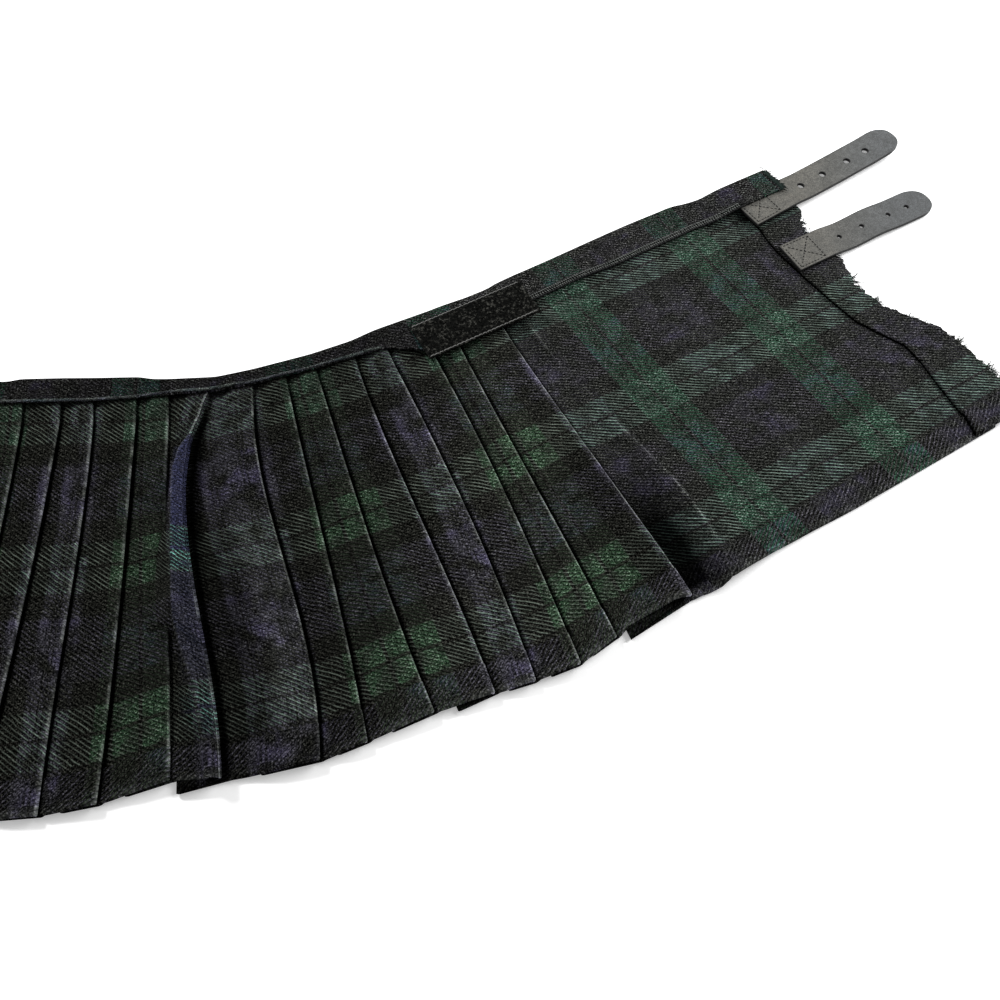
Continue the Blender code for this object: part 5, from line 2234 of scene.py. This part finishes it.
@dataclass
class FringedStrip:
    """The strip of tartan along the over-apron's free edge, with its frayed outer edge.

    line is where its rows are measured from, start and end are the v of the frayed stretch, and
    hidden is the v down to which the band covers it. A stray thread is longer than the others.
    """

    line: float = -14.0
    fringe_length: float = 3.2
    start: float = 0.17
    end: float = 0.925
    pitch: float = 2.0
    sett_start: float = 33.0
    hidden: float = 0.012
    thread: float = 0.22
    rooted: float = 1.6
    thread_parts: int = 7
    strays: float = 0.06
    seed: int = 41

    def left(self, v: np.ndarray) -> np.ndarray:
        """Return the strip's left edge, measured from the over-apron's free edge."""
        return self.line + from_table([(row.v, row.left) for row in STRIP_ROWS], v)

    def right(self, v: np.ndarray) -> np.ndarray:
        """Return the strip's woven right edge, measured in the same way.

        Args:
            v: places down the strip.

        Returns:
            The edge at each.
        """
        outer = from_table([(row.v, row.fringe) for row in STRIP_ROWS], v)
        jag = 0.9 * np.sin(v * 190.0) * np.sin(v * 71.0 + 0.4) + 0.6 * np.sin(v * 333.0 + 2.0)
        begun = eased(v, self.start, self.start + 0.03)
        over = eased(v, self.end - 0.03, self.end)
        return self.line + outer - self.fringe_length + jag * begun * (1.0 - over)

    def height(self, v: np.ndarray) -> np.ndarray:
        """Return the height of the middle of the strip's wall."""
        hem = HEM_FOLD * eased(v * DROP, HEM_TOP - 2.0, HEM_TOP + 1.0)
        return LAYER * (1.0 - eased(v, *BAND_RELEASE)) + LAYER + CLOTH / 2 + hem

    def build(self) -> list[bpy.types.Object]:
        """Shape the strip and fray its edge.

        Returns:
            The pieces.
        """
        v = cloth_rows(self.pitch)
        v = v[v > self.hidden][::-1]
        parts = np.concatenate(([0.0, 0.03], np.linspace(0.08, 0.97, 15), [1.0]))
        left, right = self.left(v), self.right(v)
        unevenness = Unevenness(29, 60, 0.5)
        calm = eased(v, 0.3, 0.4) * (1.0 - eased(v, 0.86, 0.93))
        columns, across = [], []
        for part in parts:
            shift = left + (right - left) * part
            spot = PLAN.place(SOFT_FOLD, 1.0, shift, v)
            wavy = 0.3 * np.sin(v * 23.0 + 1.0) * np.sin(part * 5.0 + v * 9.0) ** 2
            height = self.height(v) + (unevenness.over(spot) + np.abs(wavy)) * calm
            columns.append(np.concatenate((spot, height[:, None]), axis=1))
            across.append(self.sett_start + shift)
        walls = [hem_wall(v, 1.0 if part > 0.02 else 0.6) for part in parts]
        # Painted shadow along the strip's left edge.
        beside = np.where(parts == 0.0, -1.0, np.where(parts < 0.05, -0.5, 0.0))
        down = np.repeat((v * DROP)[:, None], len(parts), axis=1)
        grid = ClothGrid("fringe_strip_cloth", underside(np.stack(columns, axis=1)),
                         np.stack(across, axis=1), down, np.stack(walls, axis=1),
                         beside[None, :] * eased(v, 0.02, 0.1)[:, None], turned_below=HEM_TOP)
        strip = grid.build(Finish.TARTAN)
        threads = self.threads()
        wide = float((right - left).max()) * MM
        cut = area_under((right - left)[::-1], v[::-1] * DROP) * MM * MM
        declare(strip, "fringe_strip")
        declare(threads, "fringe")
        return [strip, threads]

    def edge_spot(self, v: float, out: float, rise: float = 0.0) -> np.ndarray:
        """Return a place past the strip's woven edge.

        Args:
            v: how far down the strip it is.
            out: how far past the edge.
            rise: how far above the middle of the strip's wall.

        Returns:
            Its (x, y, z).
        """
        at = np.array((v,))
        spot = PLAN.place(SOFT_FOLD, 1.0, self.right(at) + out, at)[0]
        return np.array((*spot, float(self.height(at)[0]) + rise))

    def threads(self) -> bpy.types.Object:
        """Fray the woven edge into loose threads, in uneven tufts.

        Returns:
            The threads.
        """
        rng = random.Random(self.seed)
        paths, radii = [], []
        down = PLAN.down(SOFT_FOLD, 1.0)
        count = self.thread_parts
        v = self.start
        while v < self.end:
            tuft = max(math.sin(v * 97.0) * math.sin(v * 37.0 + 1.3), 0.0) ** 0.7
            tuft = max(tuft, float(eased(v, 0.78, 0.88)) * rng.uniform(0.4, 1.0))
            path = [self.edge_spot(v, -self.rooted, rng.uniform(-0.35, 0.45))]
            length = (1.0 + 4.4 * tuft) * rng.uniform(0.5, 1.3)
            stray = rng.random() < self.strays
            if stray:
                length *= rng.uniform(1.3, 2.0)
            heading = rng.gauss(0.0, 0.35) + 0.5 * math.sin(v * 47.0)
            curl = rng.gauss(0.0, 1.1 if stray else 0.6)
            out = self.edge_spot(v, 1.0) - self.edge_spot(v, 0.0)
            step = (length + self.rooted) / count
            lift = rng.uniform(-0.06, 0.05)
            for k in range(count):
                heading += curl / count * 2.0 + rng.gauss(0.0, 0.08)
                move = out[:2] * math.cos(heading) + down * math.sin(heading)
                level = path[-1][2] + (lift if k > 2 else 0.0)
                path.append(np.array((*(path[-1][:2] + move * step), max(level, 0.3))))
            paths.append(np.array(path))
            radii.append(np.linspace(1.0, 0.45, count + 1) * rng.uniform(0.8, 1.25))
            v += rng.uniform(0.0006, 0.0034) * (1.3 - 0.8 * tuft)
        item = open_curve("fringe_threads", paths, self.thread, 1, radii=radii)
        return dress(item, Finish.FRAYED)


# ---- patches and straps -----------------------------------------------------------------------
@dataclass
class Laid:
    """Something flat that lies at a place on the plan, turned by so many degrees."""

    name: str
    node: str
    x: float
    y: float
    turn: float

    def place(self, along: np.ndarray | float, across: np.ndarray | float,
              height: np.ndarray | float) -> np.ndarray:
        """Return places on the plan.

        Args:
            along: distances along the piece.
            across: distances to the left of its middle line.
            height: heights above the surface that the kilt lies on.

        Returns:
            One (x, y, z) for each.
        """
        turn = math.radians(self.turn)
        x = self.x + along * math.cos(turn) - across * math.sin(turn)
        y = self.y + along * math.sin(turn) + across * math.cos(turn)
        return np.stack(np.broadcast_arrays(x, y, height), axis=-1)


@dataclass
class TapePatch(Laid):
    """A rectangle of loop or hook tape, with its sewn border and its standing fibres.

    base is the height of what it lies on, and face, root and seam_height are the heights over that
    of its woven side, of its fibres' roots and of its stitches.
    """

    base: float
    finish: Finish
    fibres: int
    fibre_height: float
    stitched: bool = True
    length: float = 67.0
    width: float = 24.0
    thick: float = 1.0
    border: float = 0.9
    face: float = 0.55
    grain: float = 0.22
    root: float = 0.95
    fibre: float = 0.13
    seam_height: float = 1.2
    stitch_pitch: float = 2.6
    stitch_share: float = 0.86
    thread: float = 0.26
    seed: int = 17

    def build(self, rests_on: Sequence[str]) -> list[bpy.types.Object]:
        """Shape the tape, its fibres and its stitching.

        Args:
            rests_on: what it is sewn to; not used.

        Returns:
            The pieces.
        """
        along = np.linspace(-self.length / 2, self.length / 2, 68)[None, :]
        across = np.linspace(-self.width / 2, self.width / 2, 25)[:, None]
        shape = (across.size, along.size)
        rough = np.random.default_rng(self.seed).uniform(0.0, self.grain, shape)
        border = np.minimum(self.width / 2 - np.abs(across), self.length / 2 - np.abs(along))
        swell = eased(border, 0.4, 2.6) * (0.12 + rough)
        spots = self.place(along, across, self.base + self.face + swell - self.thick / 2)
        grid = ClothGrid(self.name, spots, np.broadcast_to(along, shape),
                         np.broadcast_to(-across, shape), np.full(shape, self.thick),
                         np.zeros(shape))
        tape = grid.build(self.finish)
        fibres = self.stand_fibres()
        self.width * MM
        list(rests_on)
        declare(tape, self.node)
        declare(fibres)
        return [tape, fibres, *self.seams()]

    def seams(self) -> list[bpy.types.Object]:
        """Sew a row of stitches along each long edge, if the patch has them.

        Returns:
            The rows.
        """
        rows = []
        for number, side in enumerate((-1.0, 1.0) if self.stitched else ()):
            def seam(place: float, side: float = side) -> np.ndarray:
                """Return the place at a distance along the seam."""
                return self.place(place - self.length / 2 + 1.0,
                                  side * (self.width / 2 - self.border),
                                  self.base + self.seam_height)
            row = stitches(f"{self.name}_seam_{number + 1}", seam, self.length - 1.0,
                           self.stitch_pitch, Finish.PALE_THREAD, self.thread, self.stitch_share,
                           9 + number)
            declare(row)
            rows.append(row)
        return rows

    def stand_fibres(self) -> bpy.types.Object:
        """Stand small curled fibres on the tape.

        Returns:
            The fibres.
        """
        rng = random.Random(self.seed)
        t = np.linspace(0.0, 1.0, 5)
        arch = np.sin(np.pi * (0.05 + 0.9 * t))
        paths = []
        for _ in range(self.fibres):
            run = rng.uniform(-self.length / 2 + 1.6, self.length / 2 - 1.6)
            side = rng.uniform(-self.width / 2 + 2.0, self.width / 2 - 2.0)
            heading = rng.uniform(0.0, math.tau)
            reach = rng.uniform(0.5, 1.1) * t
            height = self.fibre_height * rng.uniform(0.45, 1.0)
            paths.append(self.place(run + math.cos(heading) * reach,
                                    side + math.sin(heading) * reach,
                                    self.base + self.root + height * arch))
        return dress(open_curve(f"{self.name}_fibres", paths, self.fibre, 0), self.finish)


@dataclass
class Strap(Laid):
    """A flat leather strap with punched holes, a rounded tip and a sewn end.

    holes are their distances along it, and heights gives its underside as (distance, height). The
    strap is dished by so much past its sewn end, box is where its sewing lies along it, inset how
    far inside its edges, and rim the width of the rubbed edge.
    """

    length: float
    holes: tuple[float, ...]
    heights: tuple[tuple[float, float], ...]
    hole: float
    width: float = 20.5
    thick: float = 1.9
    tip: float = 13.0
    rounding: float = 0.35
    dish: float = 0.22
    dished: tuple[float, float] = (30.0, 45.0)
    rim: float = 1.2
    bend_step: float = 1.6
    tip_steps: int = 14
    hole_steps: int = 20
    box: tuple[float, float] = (1.8, 18.5)
    inset: float = 1.6
    stitch_pitch: float = 2.2
    stitch_share: float = 0.66
    thread: float = 0.22

    def rise(self, along: np.ndarray | float) -> np.ndarray:
        """Return the height of the strap's underside at a distance along it."""
        return eased_table(self.heights, np.asarray(along, float))

    def outline(self) -> list[tuple[float, float]]:
        """Return the strap's flat outline, from its sewn end round its rounded tip.

        Returns:
            The outline's points, as (along, across).
        """
        half = self.width / 2
        tip = [(self.length - self.tip * (1.0 - math.sin(a)), half * math.cos(a) ** 0.8)
               for a in (math.pi / 2 * k / self.tip_steps for k in range(self.tip_steps + 1))]
        return [(0.0, -half), (0.0, half), *tip, *[(x, -y) for x, y in reversed(tip[:-1])]]

    def ring(self, hole: float) -> list[tuple[float, float]]:
        """Return the edge of the hole at a distance along the strap."""
        turns = [math.tau * k / self.hole_steps for k in range(self.hole_steps)]
        return [(hole + self.hole / 2 * math.cos(a), -self.hole / 2 * math.sin(a)) for a in turns]

    def cut_out(self) -> bpy.types.Object:
        """Cut the strap out flat, with its holes.

        Returns:
            The flat strap.
        """
        curve = bpy.data.curves.new(self.name, "CURVE")
        curve.dimensions = "2D"
        curve.fill_mode = "BOTH"
        curve.extrude = (self.thick / 2 - self.rounding) * MM
        curve.bevel_depth = self.rounding * MM
        curve.bevel_resolution = 1
        curve.offset = -self.rounding * MM
        for points in [self.outline(), *[self.ring(hole) for hole in self.holes]]:
            spline = curve.splines.new("POLY")
            spline.points.add(len(points) - 1)
            for target, (x, y) in zip(spline.points, points):
                target.co = (x * MM, y * MM, 0.0, 1.0)
            spline.use_cyclic_u = True
        return as_mesh(curve)

    def divide(self) -> None:
        """Cut the strap's faces along and across, so that they can bend."""
        bpy.ops.object.mode_set(mode="EDIT")
        bpy.ops.mesh.select_all(action="SELECT")
        bpy.ops.mesh.remove_doubles(threshold=2e-6)
        cuts = [((k * self.bend_step, 0.0, 0.0), (1.0, 0.0, 0.0))
                for k in range(1, int(self.length / self.bend_step))]
        cuts += [((0.0, side * self.width / 2, 0.0), (0.0, 1.0, 0.0))
                 for side in (-0.75, -0.35, 0.0, 0.35, 0.75)]
        for through, facing in cuts:
            bpy.ops.mesh.select_all(action="SELECT")
            bpy.ops.mesh.bisect(plane_co=[place * MM for place in through], plane_no=facing)
        bpy.ops.mesh.select_all(action="SELECT")
        bpy.ops.mesh.normals_make_consistent(inside=False)
        bpy.ops.object.mode_set(mode="OBJECT")

    def bend(self, item: bpy.types.Object) -> None:
        """Bend the flat strap to its heights and set it down in its place.

        Args:
            item: the flat strap.
        """
        mesh = item.data
        flat = np.empty(len(mesh.vertices) * 3)
        mesh.vertices.foreach_get("co", flat)
        along, across, level = flat.reshape(-1, 3).T / MM
        dish = 1.0 - np.minimum(np.abs(across) / (self.width / 2), 1.0) ** 2
        dish = self.dish * dish * eased(along, *self.dished)
        height = self.rise(along) + self.thick / 2 + level - dish
        mesh.vertices.foreach_set("co", to_frame(self.place(along, across, height)).ravel())
        rims = [self.width / 2 - np.abs(across), along, self.length - along]
        rims += [np.hypot(along - hole, across) - self.hole / 2 for hole in self.holes]
        keep(item, "edge", np.clip(1.0 - np.min(rims, axis=0) / self.rim, 0.0, 1.0))
        mesh.update()

    def build(self) -> list[bpy.types.Object]:
        """Cut, punch, bend and sew the strap.

        Returns:
            The pieces.
        """
        item = self.cut_out()
        self.divide()
        self.bend(item)
        smooth_faces(item, 40.0)
        dress(item, Finish.LEATHER)
        declare(item, self.node)
        return [item, self.sewing()]

    def sewing(self) -> bpy.types.Object:
        """Sew the strap's end in a crossed box.

        Returns:
            The rows as one piece.
        """
        near, far = self.box
        half = self.width / 2 - self.inset
        points = ((near, -half), (near, half), (far, half), (near, -half), (far, -half),
                  (far, half), (far, -half), (near, half))
        rows = []
        for number, (here, beyond) in enumerate(zip(points, points[1:])):
            length = math.dist(here, beyond)

            def seam(place: float, here: tuple[float, float] = here,
                     beyond: tuple[float, float] = beyond, length: float = length) -> np.ndarray:
                """Return the place at a distance along the seam."""
                along, across = (a + (b - a) * place / length for a, b in zip(here, beyond))
                return self.place(along, across, float(self.rise(along)) + self.thick + 0.02)
            rows.append(stitches(f"{self.name}_row_{number + 1}", seam, length, self.stitch_pitch,
                                 Finish.DARK_THREAD, self.thread, self.stitch_share, 20 + number))
        sewn = join(rows, f"{self.name}_sewing")
        declare(sewn)
        return sewn


# ---- buckles ----------------------------------------------------------------------------------
@dataclass
class Buckles:
    """The wire buckles and their tabs under the cloth, which keep the frame's own shapes."""

    tab: Finish = Finish.LEATHER
    wire: Finish = Finish.STEEL

    def dress(self, nodes: dict[str, bpy.types.Object]) -> None:
        """Give each buckle part its finish.

        Args:
            nodes: the frame's own parts by name.
        """
        for name, node in nodes.items():
            if name.startswith("buckle_"):
                finish = self.tab if "tab" in name else self.wire
                dress(node, finish)
                log.info("%s: keeps its shape in %s", name, finish.value.name)


# ---- surroundings -----------------------------------------------------------------------------
@dataclass(frozen=True)
class Lamp:
    """A soft square light: where it hangs and its side in metres, and its power in watts."""

    name: str
    place: tuple[float, float, float]
    size: float
    energy: float

    def hang(self) -> None:
        """Hang the light so that it faces the kilt."""
        data = bpy.data.lights.new(self.name, "AREA")
        data.shape = "SQUARE"
        data.size = self.size
        data.energy = self.energy
        lamp = bpy.data.objects.new(self.name, data)
        lamp.location = self.place
        lamp.rotation_euler = (-Vector(self.place)).to_track_quat("-Z", "Y").to_euler()
        bpy.context.collection.objects.link(lamp)


@dataclass
class Studio:
    """The pale surface, the soft light and the camera."""

    floor_size: float = 9.0
    floor_height: float = -0.0004
    camera_place: tuple[float, float, float] = (0.116155, -0.296039, 0.450)
    camera_tip: float = 29.5
    lens: float = 37.8
    sensor: float = 36.0
    clip: tuple[float, float] = (0.01, 50.0)
    sky: float = 0.3
    lamps: tuple[Lamp, ...] = (Lamp("key", (0.62, 0.30, 0.50), 0.5, 6.0),
                               Lamp("side", (-1.0, 0.9, 1.15), 0.35, 30.0))

    def build(self) -> None:
        """Set up the floor, lights and camera."""
        clear_selection()
        bpy.ops.mesh.primitive_plane_add(size=self.floor_size,
                                         location=(0.0, 0.0, self.floor_height))
        floor = bpy.context.object
        floor.name = "pale_floor"
        dress(floor, Finish.PAPER)
        for lamp in self.lamps:
            lamp.hang()
        world = bpy.data.worlds.new("soft_sky")
        world.use_nodes = True
        backdrop = world.node_tree.nodes["Background"]
        backdrop.inputs["Color"].default_value = (1.0, 1.0, 1.0, 1.0)
        backdrop.inputs["Strength"].default_value = self.sky
        bpy.context.scene.world = world
        bpy.context.scene.view_settings.view_transform = "Standard"
        data = bpy.data.cameras.new("camera")
        data.lens = self.lens
        data.sensor_width = self.sensor
        data.clip_start, data.clip_end = self.clip
        camera = bpy.data.objects.new("camera", data)
        camera.location = self.camera_place
        camera.rotation_euler = (math.radians(self.camera_tip), 0.0, 0.0)
        bpy.context.collection.objects.link(camera)
        bpy.context.scene.camera = camera


# Each crease as its gap, its ends as (part, v), its height and its width.
CREASES = tuple(Crease(*row) for row in (
    (17, (0.12, 1.0), (0.98, 0.95), 1.1, 1.5), (0, (0.30, 0.30), (0.50, 0.62), 0.7, 12.0),
    (0, (0.62, 0.50), (0.56, 0.80), 0.6, 10.0), (4, (0.50, 0.30), (0.62, 0.52), 0.35, 3.0),
    (5, (0.50, 0.55), (0.42, 0.85), 0.45, 3.5), (6, (0.55, 0.30), (0.50, 0.55), -0.35, 3.0),
    (7, (0.40, 0.62), (0.60, 0.90), 0.4, 3.5), (9, (0.52, 0.50), (0.62, 0.78), 0.7, 3.2),
    (9, (0.82, 0.18), (0.66, 0.36), 0.5, 4.0), (10, (0.45, 0.55), (0.58, 0.80), 0.4, 3.2),
    (11, (0.62, 0.30), (0.50, 0.56), 0.5, 4.0), (12, (0.40, 0.60), (0.56, 0.86), 0.5, 4.0),
    (13, (0.48, 0.35), (0.60, 0.62), -0.4, 4.0), (14, (0.56, 0.44), (0.50, 0.82), 0.5, 4.5),
    (15, (0.40, 0.24), (0.60, 0.52), 0.45, 4.0), (16, (0.50, 0.50), (0.40, 0.86), 0.6, 5.0),
    (17, (0.30, 0.84), (0.16, 1.0), -0.7, 3.0), (17, (0.55, 0.60), (0.48, 0.95), 0.6, 4.5),
    (18, (0.12, 0.55), (0.30, 0.74), 0.6, 8.0), (18, (0.50, 0.20), (0.62, 0.46), 0.55, 9.0),
    (18, (0.76, 0.50), (0.70, 0.82), 0.65, 9.0), (18, (0.34, 0.88), (0.50, 0.78), 0.5, 7.0),
    (18, (0.25, 0.12), (0.20, 0.34), -0.4, 8.0),
))


def main() -> None:
    """Build the kilt's looks, piece by piece."""
    logging.basicConfig(level=logging.INFO, format="%(message)s", stream=sys.stdout)
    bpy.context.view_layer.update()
    Studio().build()
    UnderApron("under_apron_cloth", "under_apron", CREASES, pitch=4.0, finish=Finish.PLEATED).build(
        ["pale_floor"])
    Pleats("pleats_cloth", "pleated_back", CREASES, finish=Finish.PLEATED).build(
        ["pale_floor", "under_apron_cloth"])
    OverApron("over_apron_cloth", "over_apron", CREASES, pitch=2.0).build(
        ["pale_floor", "pleats_cloth"])
    Waistband().build()
    FringedStrip().build()
    TapePatch("loop_tape", "loop_patch", x=103.8, y=63.7, turn=28.9, base=7.25, finish=Finish.LOOP,
              fibres=1400, fibre_height=0.75).build(["waistband_cloth"])
    TapePatch("hook_tape_patch", "hook_patch", x=-311.5, y=-8.0, turn=4.5, base=0.0,
              finish=Finish.HOOK, fibres=500, fibre_height=0.3, stitched=False
              ).build(["pale_floor"])
    Strap("upper_strap_leather", "strap_upper", x=258.3, y=141.9, turn=34.0, length=116.0,
          holes=(42.3, 59.3, 78.6, 93.4), hole=3.8,
          heights=((0.0, 4.35), (30.0, 4.35), (46.0, 3.2), (64.0, 3.2), (88.0, 3.6),
                   (116.0, 5.0))).build()
    Strap("lower_strap_leather", "strap_lower", x=279.4, y=109.7, turn=29.3, length=101.0,
          holes=(35.4, 51.3, 71.0, 84.7), hole=2.5,
          heights=((0.0, 2.95), (24.0, 2.95), (40.0, 1.3), (58.0, 2.4), (78.0, 0.9),
                   (101.0, 0.7))).build()
    Buckles().dress(frame["nodes"])


if __name__ == "__main__":
    main()
